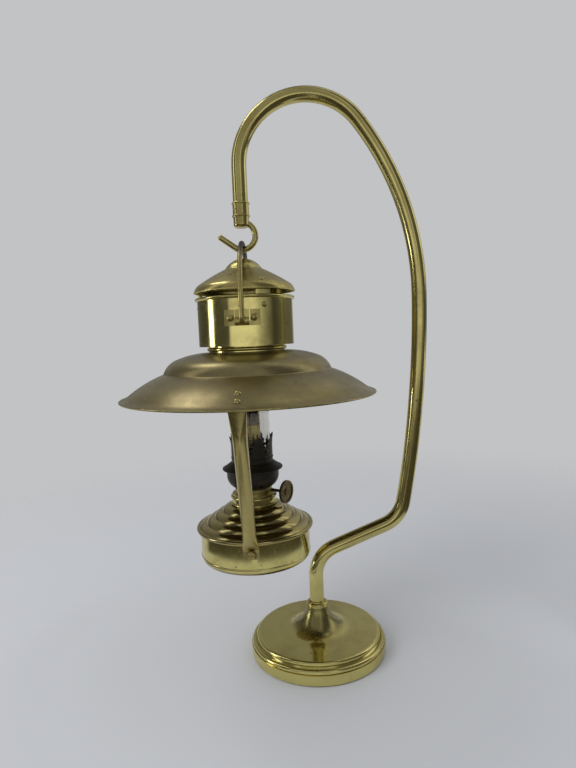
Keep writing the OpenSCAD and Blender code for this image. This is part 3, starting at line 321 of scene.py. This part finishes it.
def scratch_group():
    """Hairline scratches from years of polishing, in two directions."""
    found = bpy.data.node_groups.get("hairlines")
    if found:
        return found
    wires, start, end = shader_group(
        "hairlines", [("Strength", "NodeSocketFloat", 0.05)], ["Hairlines", "Dulling"])
    place = wires.place()
    marks = []
    for stretch, turn in (((1400, 90, 90), 0.5), ((90, 1200, 140), -0.35)):
        spread = wires.node(
            "ShaderNodeMapping", Vector=place, Rotation=(turn, turn * 0.6, turn), Scale=stretch)
        marks.append(wires.remap(wires.noise(spread.outputs[0], 1.0, 2.0), 0.60, 0.72))
    both = wires.maths("MAXIMUM", *marks)
    wires.feed(end.inputs["Hairlines"], both)
    wires.feed(end.inputs["Dulling"], wires.maths("MULTIPLY", both, start.outputs["Strength"]))
    return wires.tree


# Brass and what time does to it, with painted shade and painted highlights laid over it
def material(name):
    """A new material with its wiring and its Principled shader."""
    made = bpy.data.materials.new(name)
    made.use_nodes = True
    return made, Wiring(made.node_tree), made.node_tree.nodes["Principled BSDF"]


def brass(name, finish, axis, rough, tones=None, lines=0.05, line_bump=0.02, patch=0.03, amount=0.35,
          spots=0.05, mottle=0.0, hair=0.05):
    """Brass with lathe lines, cloudy tarnish, small spots and hairline scratches.

    Its tones are those of the metal, the clouds and the spots: clean, dull and brown unless given.
    """
    metal, dull, brown = tones or (finish.clean_brass, finish.dull_brass, finish.brown_tarnish_and_painted_shade)
    made, wires, shader = material(name)
    spin = wires.group(spin_group(), Axis=axis, Spacing=finish.spin_spacing)
    stain = wires.group(tarnish_group(), Patch_size=patch, Amount=amount, Spots=spots)
    scratch = wires.group(scratch_group(), Strength=hair)
    tone = wires.mix(stain.outputs["Clouds"], metal, dull)
    tone = wires.mix(wires.maths("MULTIPLY", stain.outputs["Spots"], SPOT_DEPTH), tone, brown)
    if mottle:
        tone = wires.mix(wires.remap(stain.outputs["Mottle"], 0.45, 0.75, 0.0, mottle), tone, brown)
    bands = wires.remap(spin.outputs["Bands"], 0.3, 0.7)
    tone = wires.mix(wires.maths("MULTIPLY", bands, BAND_DEPTH), tone, dull)
    wires.feed(shader.inputs["Base Color"], tone)
    shader.inputs["Metallic"].default_value = 1.0
    gloss = wires.maths("MULTIPLY_ADD", stain.outputs["Clouds"], CLOUD_DULLING, rough - lines / 2)
    gloss = wires.maths("ADD", scratch.outputs["Dulling"], gloss)
    if lines:
        gloss = wires.maths("MULTIPLY_ADD", spin.outputs["Lines"], lines, gloss)
    wires.feed(shader.inputs["Roughness"], gloss)
    if line_bump:
        hairlines = scratch.outputs["Hairlines"]
        relief = wires.maths("MULTIPLY_ADD", hairlines, SCRATCH_DEPTH, spin.outputs["Lines"])
        wires.bump(shader, relief, line_bump, LINE_RELIEF)
    return made


def overlay(made, mask, colour, roughen=0.0):
    """Lays a colour over a finished brass where a mask says, and roughens it there."""
    wires = Wiring(made.node_tree)
    shader = made.node_tree.nodes["Principled BSDF"]
    tone = shader.inputs["Base Color"].links[0].from_socket
    wires.feed(shader.inputs["Base Color"], wires.mix(mask, tone, colour))
    if roughen:
        gloss = shader.inputs["Roughness"].links[0].from_socket
        wires.feed(shader.inputs["Roughness"], wires.maths("MULTIPLY_ADD", mask, roughen, gloss))


def rubbed_edge_and_highlight(made, node, clean):
    """Brightens a spun piece's lower edge to clean brass: tarnish rubbed off there, and a painted highlight
    along the rim.
    """
    wires = Wiring(made.node_tree)
    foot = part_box(node)[0].z
    ragged = wires.maths("MULTIPLY_ADD", wires.noise(wires.place(), 220.0), 1.6 * MM, wires.height())
    overlay(made, wires.remap(ragged, foot + 1.2 * MM, foot + 2.4 * MM, 0.8, 0.0), clean)


def painted_underside_shade(made, colour):
    """Darkens and roughens the faces that look down: painted shade under the fount and its cup, and painted
    shade over soot inside the shade.
    """
    wires = Wiring(made.node_tree)
    rise = wires.split(wires.node("ShaderNodeTexCoord").outputs["Normal"])["Z"]
    overlay(made, wires.remap(rise, -0.6, -0.3, 1.0, 0.0), colour, roughen=0.15)


def painted_dark_trumpet(made, brown):
    """Browns and roughens the base above its disc: a painted dark reflection on the trumpet."""
    wires = Wiring(made.node_tree)
    low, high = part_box("base_shell")
    disc_share = 0.46
    foot = low.z + disc_share * (high.z - low.z)
    overlay(made, wires.remap(wires.height(), foot, foot + 5 * MM, 0.0, 0.65), brown, roughen=0.20)


def screw_grime(made, brown):
    """Darkens the straps' feet round the cup's screws, where polish dries and stays."""
    wires = Wiring(made.node_tree)
    low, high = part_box("cup_screws")
    place = wires.place()
    along = wires.maths("SUBTRACT", wires.split(place)["X"], LAMP_AXIS.x)
    up = wires.maths("SUBTRACT", wires.height(), (low.z + high.z) / 2)
    ragged = wires.maths("MULTIPLY_ADD", wires.noise(place, 600.0), 1.6 * MM, wires.length(along, up))
    head = (high.z - low.z) / 2
    overlay(made, wires.remap(ragged, head + 0.8 * MM, head + 2.6 * MM, 0.75, 0.0), brown)


# Smooth shading and dressing of the CAD nodes
def soft_facets():
    """A geometry node group that shades a mesh smooth, but for edges that bend more than an angle."""
    found = bpy.data.node_groups.get("soft_facets")
    if found:
        return found
    tree = bpy.data.node_groups.new("soft_facets", "GeometryNodeTree")
    tree.interface.new_socket(name="Mesh", in_out="INPUT", socket_type="NodeSocketGeometry")
    tree.interface.new_socket(name="Limit", in_out="INPUT", socket_type="NodeSocketFloat")
    tree.interface.new_socket(name="Mesh", in_out="OUTPUT", socket_type="NodeSocketGeometry")
    wires = Wiring(tree)
    start = wires.node("NodeGroupInput")
    end = wires.node("NodeGroupOutput")
    joined = wires.node("GeometryNodeMergeByDistance", Geometry=start.outputs["Mesh"], Distance=0.002 * MM)
    bend = wires.node("GeometryNodeInputMeshEdgeAngle").outputs["Unsigned Angle"]
    sharp = wires.node(
        "FunctionNodeCompare", {"operation": "GREATER_THAN"}, A=bend, B=start.outputs["Limit"])
    shaded = wires.node(
        "GeometryNodeSetMeshNormal", Mesh=joined.outputs[0], Remove_Custom=True,
        Edge_Sharpness=sharp.outputs[0], Face_Sharpness=False)
    wires.feed(end.inputs["Mesh"], shaded.outputs[0])
    return tree


def soften(nodes, degrees):
    """Shades CAD nodes smooth, but for edges that bend more than so many degrees."""
    for name in nodes:
        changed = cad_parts[name].modifiers.new("soft_facets", "NODES")
        changed.node_group = soft_facets()
        limit = changed.node_group.interface.items_tree["Limit"].identifier
        changed[limit] = math.radians(degrees)


def dress(nodes, made):
    """Puts one material on CAD nodes."""
    for name in nodes:
        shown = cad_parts[name]
        shown.data.materials.clear()
        shown.data.materials.append(made)


# The stand
def felt_cloth():
    """Dark green felt."""
    made, wires, shader = material("felt_cloth")
    fibre = wires.noise(wires.place(), 1500.0, 5.0, 0.7)
    wires.feed(shader.inputs["Base Color"], wires.mix(fibre, (0.012, 0.030, 0.016), (0.035, 0.070, 0.040)))
    shader.inputs["Roughness"].default_value = 0.95
    shader.inputs["Sheen Weight"].default_value = 0.4
    wires.bump(shader, fibre, 0.4, 0.3 * MM)
    return made


def cast_iron():
    """Rough grey cast iron."""
    made, wires, shader = material("cast_iron")
    grain = wires.noise(wires.place(), 700.0, 5.0, 0.6)
    wires.feed(shader.inputs["Base Color"], wires.mix(grain, (0.045, 0.045, 0.048), (0.11, 0.10, 0.10)))
    wires.feed(shader.inputs["Roughness"], wires.remap(grain, 0.3, 0.7, 0.55, 0.8))
    shader.inputs["Metallic"].default_value = 0.6
    wires.bump(shader, grain, 0.5, 0.4 * MM)
    return made


def plain_steel():
    """Plain steel with lathe lines."""
    made, wires, shader = material("plain_steel")
    spin = wires.group(spin_group(), Axis=BASE_AXIS, Spacing=0.3 * MM)
    tone = wires.mix(spin.outputs["Bands"], (0.36, 0.36, 0.36), (0.55, 0.54, 0.53))
    wires.feed(shader.inputs["Base Color"], tone)
    wires.feed(shader.inputs["Roughness"], wires.remap(spin.outputs["Lines"], 0.2, 0.8, 0.28, 0.45))
    shader.inputs["Metallic"].default_value = 1.0
    return made


class LAMP_OT_stand(bpy.types.Operator):
    """Finish the gooseneck, its base and its hook in polished brass"""

    bl_idname = "lamp.stand"
    bl_label = "Stand"

    def execute(self, context):
        finish = context.scene.lamp_finish
        tube = brass("stand_brass", finish, BASE_AXIS, rough=finish.polish, lines=0.0, line_bump=0.0,
                     patch=0.05, amount=0.42, spots=0.02, hair=0.01)
        dress(["stand_tube", "post_collar", "hook_ferrule", "hook_end_cap", "hook", "base_nut"], tube)
        soften(["stand_tube", "hook"], BENT_TUBE)
        base = brass("base_brass", finish, BASE_AXIS, rough=finish.polish, lines=0.07,
                     patch=0.04, amount=0.30, spots=0.03)
        # Painted dark reflection on the base's trumpet.
        painted_dark_trumpet(base, finish.brown_tarnish_and_painted_shade)
        dress(["base_shell"], base)
        soften(["base_shell"], SPUN_SHEET)
        dress(["base_felt"], felt_cloth())
        dress(["base_weight"], cast_iron())
        dress(["base_washer"], plain_steel())
        return {"FINISHED"}


# The bail, cap and drum
def bail_wire(finish):
    """Brass wire, worn dark where it rubs on the hook."""
    made = brass("bail_brass", finish, LAMP_AXIS, rough=0.24, lines=0.03, line_bump=0.01,
                 patch=0.02, amount=0.5, spots=0.15)
    wires = Wiring(made.node_tree)
    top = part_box("bail")[1].z
    worn = wires.remap(wires.height(), top - 24 * MM, top - 6 * MM)
    overlay(made, worn, colour=(0.10, 0.095, 0.085), roughen=0.15)
    return made


class LAMP_OT_cap(bpy.types.Operator):
    """Finish the bail, its ears, the dome and the vent drum"""

    bl_idname = "lamp.cap"
    bl_label = "Bail, cap and drum"

    def execute(self, context):
        finish = context.scene.lamp_finish
        drum = brass("drum_brass", finish, LAMP_AXIS, rough=finish.polish * 0.8, lines=0.04,
                     line_bump=0.012, patch=0.025, amount=0.36)
        dress(["vent_drum", "neck_collar", "neck_eyelet"], drum)
        dress(["cap_tab_front", "cap_tab_rear", "cap_tab_left"], drum)
        dome = brass("dome_brass", finish, LAMP_AXIS, rough=0.18, lines=0.08, line_bump=0.03,
                     patch=0.02, amount=0.52, spots=0.03, mottle=0.06)
        # Rubbed rim with a painted highlight line along the dome's edge.
        rubbed_edge_and_highlight(dome, "cap_dome", finish.clean_brass)
        dress(["cap_dome"], dome)
        soften(["cap_dome"], SPUN_SHEET)
        ear = brass("ear_brass", finish, LAMP_AXIS, rough=0.24, patch=0.012, amount=0.55, spots=0.15)
        dress(["bail_ear_front", "bail_ear_rear", "ear_rivets", "cap_rivets"], ear)
        dress(["bail"], bail_wire(finish))
        return {"FINISHED"}


# The shade
class LAMP_OT_shade(bpy.types.Operator):
    """Finish the brushed and tarnished shade"""

    bl_idname = "lamp.shade"
    bl_label = "Shade"

    def execute(self, context):
        finish = context.scene.lamp_finish
        tones = (finish.shade_brass, finish.brown_film_and_painted_shade, finish.brown_tarnish_and_painted_shade)
        made = brass("shade_brass", finish, LAMP_AXIS, rough=0.26, tones=tones, lines=0.16, line_bump=0.12,
                     patch=0.045, amount=0.42, spots=0.02, mottle=0.15)
        # Rubbed rim with a painted highlight line along the shade's edge.
        rubbed_edge_and_highlight(made, "shade", finish.clean_brass)
        # Painted shade on the shade's inside, over its soot.
        painted_underside_shade(made, finish.brown_tarnish_and_painted_shade)
        dress(["shade"], made)
        soften(["shade"], SPUN_SHEET)
        return {"FINISHED"}


# The straps, cup and fount
class LAMP_OT_carrier(bpy.types.Operator):
    """Finish the straps, their rivets and screws, the cup and the fount"""

    bl_idname = "lamp.carrier"
    bl_label = "Straps, cup and fount"

    def execute(self, context):
        finish = context.scene.lamp_finish
        strap = brass("strap_brass", finish, LAMP_AXIS, rough=finish.polish * 1.2, lines=0.0, line_bump=0.0,
                      amount=0.66, spots=0.02, hair=0.02)
        screw_grime(strap, finish.brown_tarnish_and_painted_shade)
        dress(["strap_front", "strap_rear", "strap_rivets"], strap)
        soften(["strap_front", "strap_rear"], PRESSED_STRAP)
        screw = brass("screw_brass", finish, LAMP_AXIS, rough=0.22, patch=0.006, amount=0.55, spots=0.15)
        dress(["cup_screws", "cup_nuts"], screw)
        fount = brass("fount_brass", finish, LAMP_AXIS, rough=finish.polish * 0.6, lines=0.03,
                      line_bump=0.01, patch=0.022, amount=0.36, spots=0.06)
        # Painted shade on the fount's and cup's downward faces.
        painted_underside_shade(fount, finish.brown_film_and_painted_shade)
        dress(["fount_cup", "fount_body", "fount_collar"], fount)
        tones = (finish.dull_brass, finish.shade_brass, finish.brown_tarnish_and_painted_shade)
        lid = brass("lid_brass", finish, LAMP_AXIS, rough=finish.polish * 0.8, tones=tones, lines=0.03,
                    line_bump=0.006, patch=0.018, amount=0.42, spots=0.04)
        dress(["fount_lid"], lid)
        soften(["fount_lid"], SPUN_SHEET)
        return {"FINISHED"}


# The burner, glass and wick
def sooty_brass(finish):
    """Burner brass under soot, with the metal coming through where it has been wiped."""
    made, wires, shader = material("sooty_brass")
    stain = wires.group(tarnish_group(), Patch_size=0.012, Amount=0.45, Spots=0.2)
    mottle = stain.outputs["Mottle"]
    wiped = wires.remap(wires.noise(wires.place(), 160.0, 5.0, 0.65), 0.56, 0.74)
    tone = wires.mix(mottle, finish.soot, (0.040, 0.036, 0.022))
    tone = wires.mix(wires.maths("MULTIPLY", wiped, 0.40), tone, finish.dull_brass)
    wires.feed(shader.inputs["Base Color"], tone)
    wires.feed(shader.inputs["Metallic"], wires.remap(wiped, 0.0, 1.0, 0.55, 1.0))
    wires.feed(shader.inputs["Roughness"], wires.remap(mottle, 0.3, 0.7, 0.34, 0.62))
    wires.bump(shader, mottle, 0.15, 0.15 * MM)
    return made


class LAMP_OT_burner(bpy.types.Operator):
    """Finish the burner, its knob and the tubes that hold the wick"""

    bl_idname = "lamp.burner"
    bl_label = "Burner"

    def execute(self, context):
        finish = context.scene.lamp_finish
        dress(["burner_bowl", "burner_flange", "burner_gallery"], sooty_brass(finish))
        ring = brass("burner_brass", finish, LAMP_AXIS, rough=0.25, patch=0.01, amount=0.6, spots=0.2)
        dress(["burner_base", "star_wheel_near", "star_wheel_far"], ring)
        tones = (finish.brown_tarnish_and_painted_shade, finish.dull_brass, finish.soot)
        knob = brass("knob_brass", finish, LAMP_AXIS, rough=0.30, tones=tones,
                     patch=0.008, amount=0.25, spots=0.1)
        dress(["spindle", "wick_knob"], knob)
        tones = (finish.dull_brass, finish.brown_tarnish_and_painted_shade, finish.soot)
        hot = brass("wick_tube_brass", finish, LAMP_AXIS, rough=0.22, tones=tones,
                    patch=0.012, amount=0.40, spots=0.15)
        dress(["wick_tube", "draught_tube"], hot)
        return {"FINISHED"}


class LAMP_OT_chimney(bpy.types.Operator):
    """Finish the clear glass chimney"""

    bl_idname = "lamp.chimney"
    bl_label = "Glass chimney"

    def execute(self, context):
        made, wires, shader = material("chimney_glass")
        edge = wires.node("ShaderNodeLayerWeight", Blend=0.5).outputs["Facing"]
        thick = wires.remap(edge, 0.55, 0.95)
        wires.feed(shader.inputs["Base Color"], wires.mix(thick, (0.84, 0.83, 0.80), (0.58, 0.59, 0.56)))
        shader.inputs["Metallic"].default_value = 0.0
        shader.inputs["Transmission Weight"].default_value = 1.0
        shader.inputs["IOR"].default_value = 1.46
        haze = wires.noise(wires.place(), 120.0, 5.0, 0.6)
        wires.feed(shader.inputs["Roughness"], wires.remap(haze, 0.50, 0.85, 0.01, 0.10))
        dress(["chimney"], made)
        soften(["chimney"], BLOWN_GLASS)
        return {"FINISHED"}


def mesh_object(context, name, bm):
    """An object in the scene, made from a finished bmesh."""
    mesh = bpy.data.meshes.new(name)
    bm.to_mesh(mesh)
    bm.free()
    made = bpy.data.objects.new(name, mesh)
    context.scene.collection.objects.link(made)
    return made


class LAMP_OT_wick(bpy.types.Operator):
    """Build the woven cotton wick, charred at its top"""

    bl_idname = "lamp.wick"
    bl_label = "Wick"

    ribs: bpy.props.IntProperty(
        name="Ribs", description="Upright ribs in the weave", min=8, max=60, default=26)
    rows: bpy.props.FloatProperty(
        name="Row height", description="Height of one row of the weave",
        unit="LENGTH", precision=5, min=0.3 * MM, max=5 * MM, default=1.3 * MM)
    relief: bpy.props.FloatProperty(
        name="Relief", description="How far the weave stands proud",
        unit="LENGTH", precision=5, min=0, max=0.5 * MM, default=0.12 * MM)
    thickness: bpy.props.FloatProperty(
        name="Thickness", description="Thickness of the strip",
        unit="LENGTH", precision=5, min=1 * MM, max=2 * MM, default=1.5 * MM)
    slit: bpy.props.FloatProperty(
        name="Slit", description="Width of the slit between the strip's edges",
        unit="LENGTH", precision=5, min=1 * MM, max=4 * MM, default=1.9 * MM)
    slit_side: bpy.props.FloatProperty(
        name="Slit side", description="Direction of the slit in the rolled strip, from +X",
        subtype="ANGLE", default=math.radians(-123))
    tail: bpy.props.FloatProperty(
        name="Tail", description="Width of each of the two tails in the fount",
        unit="LENGTH", precision=5, min=4 * MM, max=14 * MM, default=9 * MM)

    overlap: bpy.props.FloatProperty(
        name="Overlap", description="How far the tails run up into the roll",
        unit="LENGTH", precision=5, min=0, max=3 * MM, default=0.5 * MM)
    fray: bpy.props.FloatProperty(
        name="Fray", description="Depth of the nicks in the burnt edge",
        unit="LENGTH", precision=5, min=0, max=1 * MM, default=0.35 * MM)

    def execute(self, context):
        low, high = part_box("wick")
        roll_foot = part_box("draught_tube")[0].z
        outer = min(high.x - low.x, high.y - low.y) / 2
        slit = self.slit / 2 / outer
        tail = self.tail / 2 / outer
        bm = bmesh.new()
        roll = (self.slit_side + slit, self.slit_side + math.tau - slit)
        self.strip(bm, outer, roll, (roll_foot, high.z), True)
        for side in (math.pi / 2, -math.pi / 2):
            turn = self.slit_side + side
            self.strip(bm, outer, (turn - tail, turn + tail), (low.z, roll_foot + self.overlap), False)
        wick = mesh_object(context, "cotton_wick", bm)
        for face in wick.data.polygons:
            face.use_smooth = True
        wick.data.materials.append(self.cotton(context.scene.lamp_finish, high.z))
        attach(wick, "wick")
        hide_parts("wick")
        return {"FINISHED"}

    def strip(self, bm, outer, turns, heights, frayed):
        """A curved woven strip between two angles and two heights."""
        start, end = turns
        foot, top = heights
        across = max(12, int((end - start) / math.tau * self.ribs * POINTS_PER_RIB))
        up = max(8, int((top - foot) / self.rows * POINTS_PER_ROW))
        angles = [start + (end - start) * i / across for i in range(across + 1)]
        levels = [foot + (top - foot) * j / up for j in range(up + 1)]
        out = self.skin(bm, outer, -self.relief, angles, levels, frayed)
        into = self.skin(bm, outer - self.thickness, self.relief, angles, levels, frayed)
        for j in range(up):
            for i in range(across):
                bm.faces.new((out[j][i], out[j][i + 1], out[j + 1][i + 1], out[j + 1][i]))
                bm.faces.new((into[j][i + 1], into[j][i], into[j + 1][i], into[j + 1][i + 1]))
            bm.faces.new((out[j][0], out[j + 1][0], into[j + 1][0], into[j][0]))
            bm.faces.new((into[j][-1], into[j + 1][-1], out[j + 1][-1], out[j][-1]))
        for i in range(across):
            bm.faces.new((out[-1][i], out[-1][i + 1], into[-1][i + 1], into[-1][i]))
            bm.faces.new((out[0][i + 1], out[0][i], into[0][i], into[0][i + 1]))

    def skin(self, bm, radius, relief, angles, levels, frayed):
        """Points of one face of the strip, with the weave's relief and a frayed top edge."""
        grid = []
        for z in levels:
            row = []
            for a in angles:
                weave = math.cos(a * self.ribs) * math.cos(math.tau * z / self.rows)
                swell = radius + relief * (0.5 + 0.5 * weave)
                drop = 0.0
                if frayed and z == levels[-1]:
                    drop = self.fray * (0.5 + 0.5 * math.sin(a * 17.0) * math.cos(a * 29.0))
                x = LAMP_AXIS.x + swell * math.cos(a)
                y = LAMP_AXIS.y + swell * math.sin(a)
                row.append(bm.verts.new((x, y, z - drop)))
            grid.append(row)
        return grid

    def cotton(self, finish, top):
        """Woven cotton, charred along the burnt edge."""
        made, wires, shader = material("wick_cotton")
        place = wires.place()
        fibre = wires.noise(place, 2600.0, 4.0, 0.65)
        ragged = wires.maths("MULTIPLY_ADD", wires.noise(place, 500.0), 3.0 * MM, wires.height())
        char = wires.remap(ragged, top - 3.6 * MM, top - 1.2 * MM)
        scorch = wires.remap(ragged, top - 9 * MM, top - 2 * MM, 0.0, 0.6)
        tone = wires.mix(fibre, finish.cotton, (0.38, 0.31, 0.24))
        tone = wires.mix(scorch, tone, (0.14, 0.11, 0.08))
        tone = wires.mix(char, tone, (0.008, 0.007, 0.006))
        wires.feed(shader.inputs["Base Color"], tone)
        shader.inputs["Roughness"].default_value = 0.9
        shader.inputs["Sheen Weight"].default_value = 0.25
        wires.bump(shader, fibre, 0.5, 0.2 * MM)
        return made


# The studio stage
class LAMP_OT_stage(bpy.types.Operator):
    """Set up the floor, the studio light and the camera"""

    bl_idname = "lamp.stage"
    bl_label = "Stage"

    def execute(self, context):
        settings = context.scene.lamp_stage
        self.floor(context, settings)
        self.sky(context, settings)
        self.room(context, settings)
        self.dark_floor(context, settings)
        self.lights(context, settings)
        self.camera(context, settings)
        context.scene.view_settings.view_transform = "Standard"
        return {"FINISHED"}

    def plate(self, context, name, side, height):
        """A square stage plate that faces up."""
        bm = bmesh.new()
        bmesh.ops.create_grid(bm, x_segments=1, y_segments=1, size=side / 2)
        made = mesh_object(context, name, bm)
        made.location.z = height
        return made

    def floor(self, context, settings):
        """A pale floor that fades out far from the lamp, so that no edge shows against the wall."""
        floor = self.plate(context, "stage_floor", FLOOR_SIDE, height=0)
        made, wires, shader = material("floor_paint")
        place = wires.place()
        cloud = wires.noise(place, 3.0, 4.0)
        paler = tuple(min(1.0, c * 1.04) for c in settings.floor_colour)
        wires.feed(shader.inputs["Base Color"], wires.mix(cloud, settings.floor_colour, paler))
        shader.inputs["Roughness"].default_value = 0.6
        far = wires.away(place, (0, 0, 0))
        wires.feed(shader.inputs["Alpha"], wires.remap(far, FADE_START, FADE_END, 1.0, 0.0))
        floor.data.materials.append(made)

    def sky(self, context, settings):
        """An even sky. The camera, metal and glass see the wall's colour in it."""
        world = bpy.data.worlds.new("studio_sky")
        context.scene.world = world
        world.use_nodes = True
        wires = Wiring(world.node_tree)
        back = world.node_tree.nodes["Background"]
        path = wires.node("ShaderNodeLightPath")
        seen = wires.maths("MAXIMUM", path.outputs["Is Camera Ray"], path.outputs["Is Transmission Ray"])
        seen = wires.maths("MAXIMUM", seen, path.outputs["Is Glossy Ray"])
        cool_white = (0.96, 0.98, 1.0)
        glow = tuple(settings.sky * c for c in cool_white)
        wires.feed(back.inputs["Color"], wires.mix(seen, glow, settings.backdrop))
        back.inputs["Strength"].default_value = 1.0

    def ramp(self, wires, turn, column):
        """Brightness round the room, from one column of its list."""
        made = wires.node("ShaderNodeValToRGB", Fac=turn)
        stops = made.color_ramp.elements
        stops.remove(stops[1])
        for index, place in enumerate(ROOM):
            spot = place[0] / 360 + 0.5
            stop = stops[0] if index == 0 else stops.new(spot)
            stop.position = spot
            stop.color = (place[column], place[column], place[column], 1.0)
        return made.outputs["Color"]

    def room(self, context, settings):
        """A round room of pale and dark walls and one bright strip, seen only in polished metal."""
        bm = bmesh.new()
        foot = bmesh.ops.create_circle(bm, segments=ROOM_SIDES, radius=ROOM_RADIUS)["verts"]
        top = bmesh.ops.create_circle(bm, segments=ROOM_SIDES, radius=ROOM_RADIUS)["verts"]
        bmesh.ops.translate(bm, verts=top, vec=(0, 0, ROOM_HEIGHT))
        for index in range(ROOM_SIDES):
            after = (index + 1) % ROOM_SIDES
            bm.faces.new((foot[index], foot[after], top[after], top[index]))
        bm.faces.new(top)
        room = mesh_object(context, "stage_room", bm)
        made, wires, shader = material("room_walls")
        x, y, z = wires.split(wires.place())
        turn = wires.maths("ARCTAN2", x, wires.maths("MULTIPLY", y, -1.0))
        turn = wires.maths("MULTIPLY_ADD", turn, 1 / math.tau, 0.5)
        off_band = wires.maths("ABSOLUTE", wires.maths("SUBTRACT", z, BAND_MIDDLE))
        outside = wires.remap(off_band, BAND_HALF, BAND_HALF + BAND_BLUR)
        tone = wires.mix(outside, self.ramp(wires, turn, 1), self.ramp(wires, turn, 2))
        wires.feed(shader.inputs["Emission Color"], tone)
        self.mirrored_only(room, made, shader, settings)

    def dark_floor(self, context, settings):
        """A dark floor far out in front, and a dark ring nearer the lamp, seen only in polished metal."""
        plate = self.plate(context, "stage_front", ROOM_RADIUS * 1.9, height=1 * MM)
        made, wires, shader = material("room_shadow")
        place = wires.place()
        tone = wires.mix(wires.noise(place, 4.0), (0.03, 0.03, 0.027), (0.10, 0.09, 0.075))
        wires.feed(shader.inputs["Emission Color"], tone)
        far = wires.away(place, LAMP_AXIS)
        parts = wires.split(place)
        aside = wires.maths("ABSOLUTE", wires.maths("SUBTRACT", parts["X"], LAMP_AXIS.x))
        far_out = wires.remap(far, 0.282, 0.298)
        off_axis = wires.remap(aside, 0.020, 0.040)
        ring_start = wires.remap(far, 0.176, 0.190)
        ring_stop = wires.remap(far, 0.220, 0.234, 1.0, 0.0)
        left_of_post = wires.remap(parts["X"], -0.03, -0.01, 1.0, 0.0)
        in_front = wires.remap(parts["Y"], 0.05, 0.15, 1.0, 0.0)
        past = wires.maths("MULTIPLY", far_out, off_axis)
        ring = wires.maths("MULTIPLY", wires.maths("MULTIPLY", ring_start, ring_stop), left_of_post)
        dark = wires.maths("MULTIPLY", wires.maths("MAXIMUM", past, ring), in_front)
        wires.feed(shader.inputs["Alpha"], dark)
        self.mirrored_only(plate, made, shader, settings)

    def mirrored_only(self, thing, made, shader, settings):
        """Gives a stage piece a glow that only polished metal sees."""
        shader.inputs["Base Color"].default_value = (0, 0, 0, 1)
        shader.inputs["Roughness"].default_value = 1.0
        shader.inputs["Specular IOR Level"].default_value = 0.0
        shader.inputs["Emission Strength"].default_value = settings.mirrored
        thing.data.materials.append(made)
        thing.visible_camera = False
        thing.visible_diffuse = False
        thing.visible_shadow = False
        thing.visible_transmission = False

    def lights(self, context, settings):
        """A high soft light that metal mirrors, and a wide one that it doesn't."""
        middle_of_part = Vector((0, 0, 0.25))
        for name, place, size, share, mirrored in (
                ("key_light", (-0.76, 0.42, 1.64), (0.34, 0.52), 0.3, True),
                ("side_light", (-1.3, -0.9, 1.2), (0.9, 0.9), 1.4, False)):
            data = bpy.data.lights.new(name, "AREA")
            data.shape = "RECTANGLE"
            data.size, data.size_y = size
            data.energy = settings.key * share
            light = bpy.data.objects.new(name, data)
            light.location = place
            aim = middle_of_part - light.location
            light.rotation_euler = aim.to_track_quat("-Z", "Y").to_euler()
            light.visible_glossy = mirrored
            context.scene.collection.objects.link(light)

    def camera(self, context, settings):
        """The camera at the photograph's place and angle."""
        data = bpy.data.cameras.new("studio_camera")
        data.sensor_fit = "AUTO"
        data.sensor_width = 36
        data.lens = settings.lens
        data.clip_start, data.clip_end = 0.01, 50
        made = bpy.data.objects.new("studio_camera", data)
        level = Matrix.Rotation(math.pi / 2 - settings.pitch, 4, "X")
        lean = Matrix.Rotation(-settings.roll, 4, "Z")
        made.matrix_world = Matrix.Translation(settings.place) @ level @ lean
        context.scene.collection.objects.link(made)
        context.scene.camera = made


# The sidebar, and the order of the work
OPERATORS = (
    LAMP_OT_stand, LAMP_OT_cap, LAMP_OT_shade, LAMP_OT_carrier, LAMP_OT_burner, LAMP_OT_chimney,
    LAMP_OT_wick, LAMP_OT_stage)


class LAMP_PT_panel(bpy.types.Panel):
    """Buttons for the lamp's pieces and stage"""

    bl_idname = "LAMP_PT_panel"
    bl_label = "Oil lamp"
    bl_space_type = "VIEW_3D"
    bl_region_type = "UI"
    bl_category = "Oil lamp"

    def draw(self, context):
        layout = self.layout
        for settings in (context.scene.lamp_finish, context.scene.lamp_stage):
            box = layout.box()
            for key in settings.bl_rna.properties.keys():
                if key not in {"rna_type", "name"}:
                    box.prop(settings, key)
        for operator in OPERATORS:
            layout.operator(operator.bl_idname)


CLASSES = (LampFinish, LampStage, *OPERATORS, LAMP_PT_panel)


def register():
    for made in CLASSES:
        bpy.utils.register_class(made)
    bpy.types.Scene.lamp_finish = bpy.props.PointerProperty(type=LampFinish)
    bpy.types.Scene.lamp_stage = bpy.props.PointerProperty(type=LampStage)


def unregister():
    del bpy.types.Scene.lamp_stage
    del bpy.types.Scene.lamp_finish
    for made in reversed(CLASSES):
        bpy.utils.unregister_class(made)


def main():
    register()
    for step in ("stand", "cap", "shade", "carrier", "burner", "chimney", "wick", "stage"):
        getattr(bpy.ops.lamp, step)()


if __name__ == "__main__":
    main()
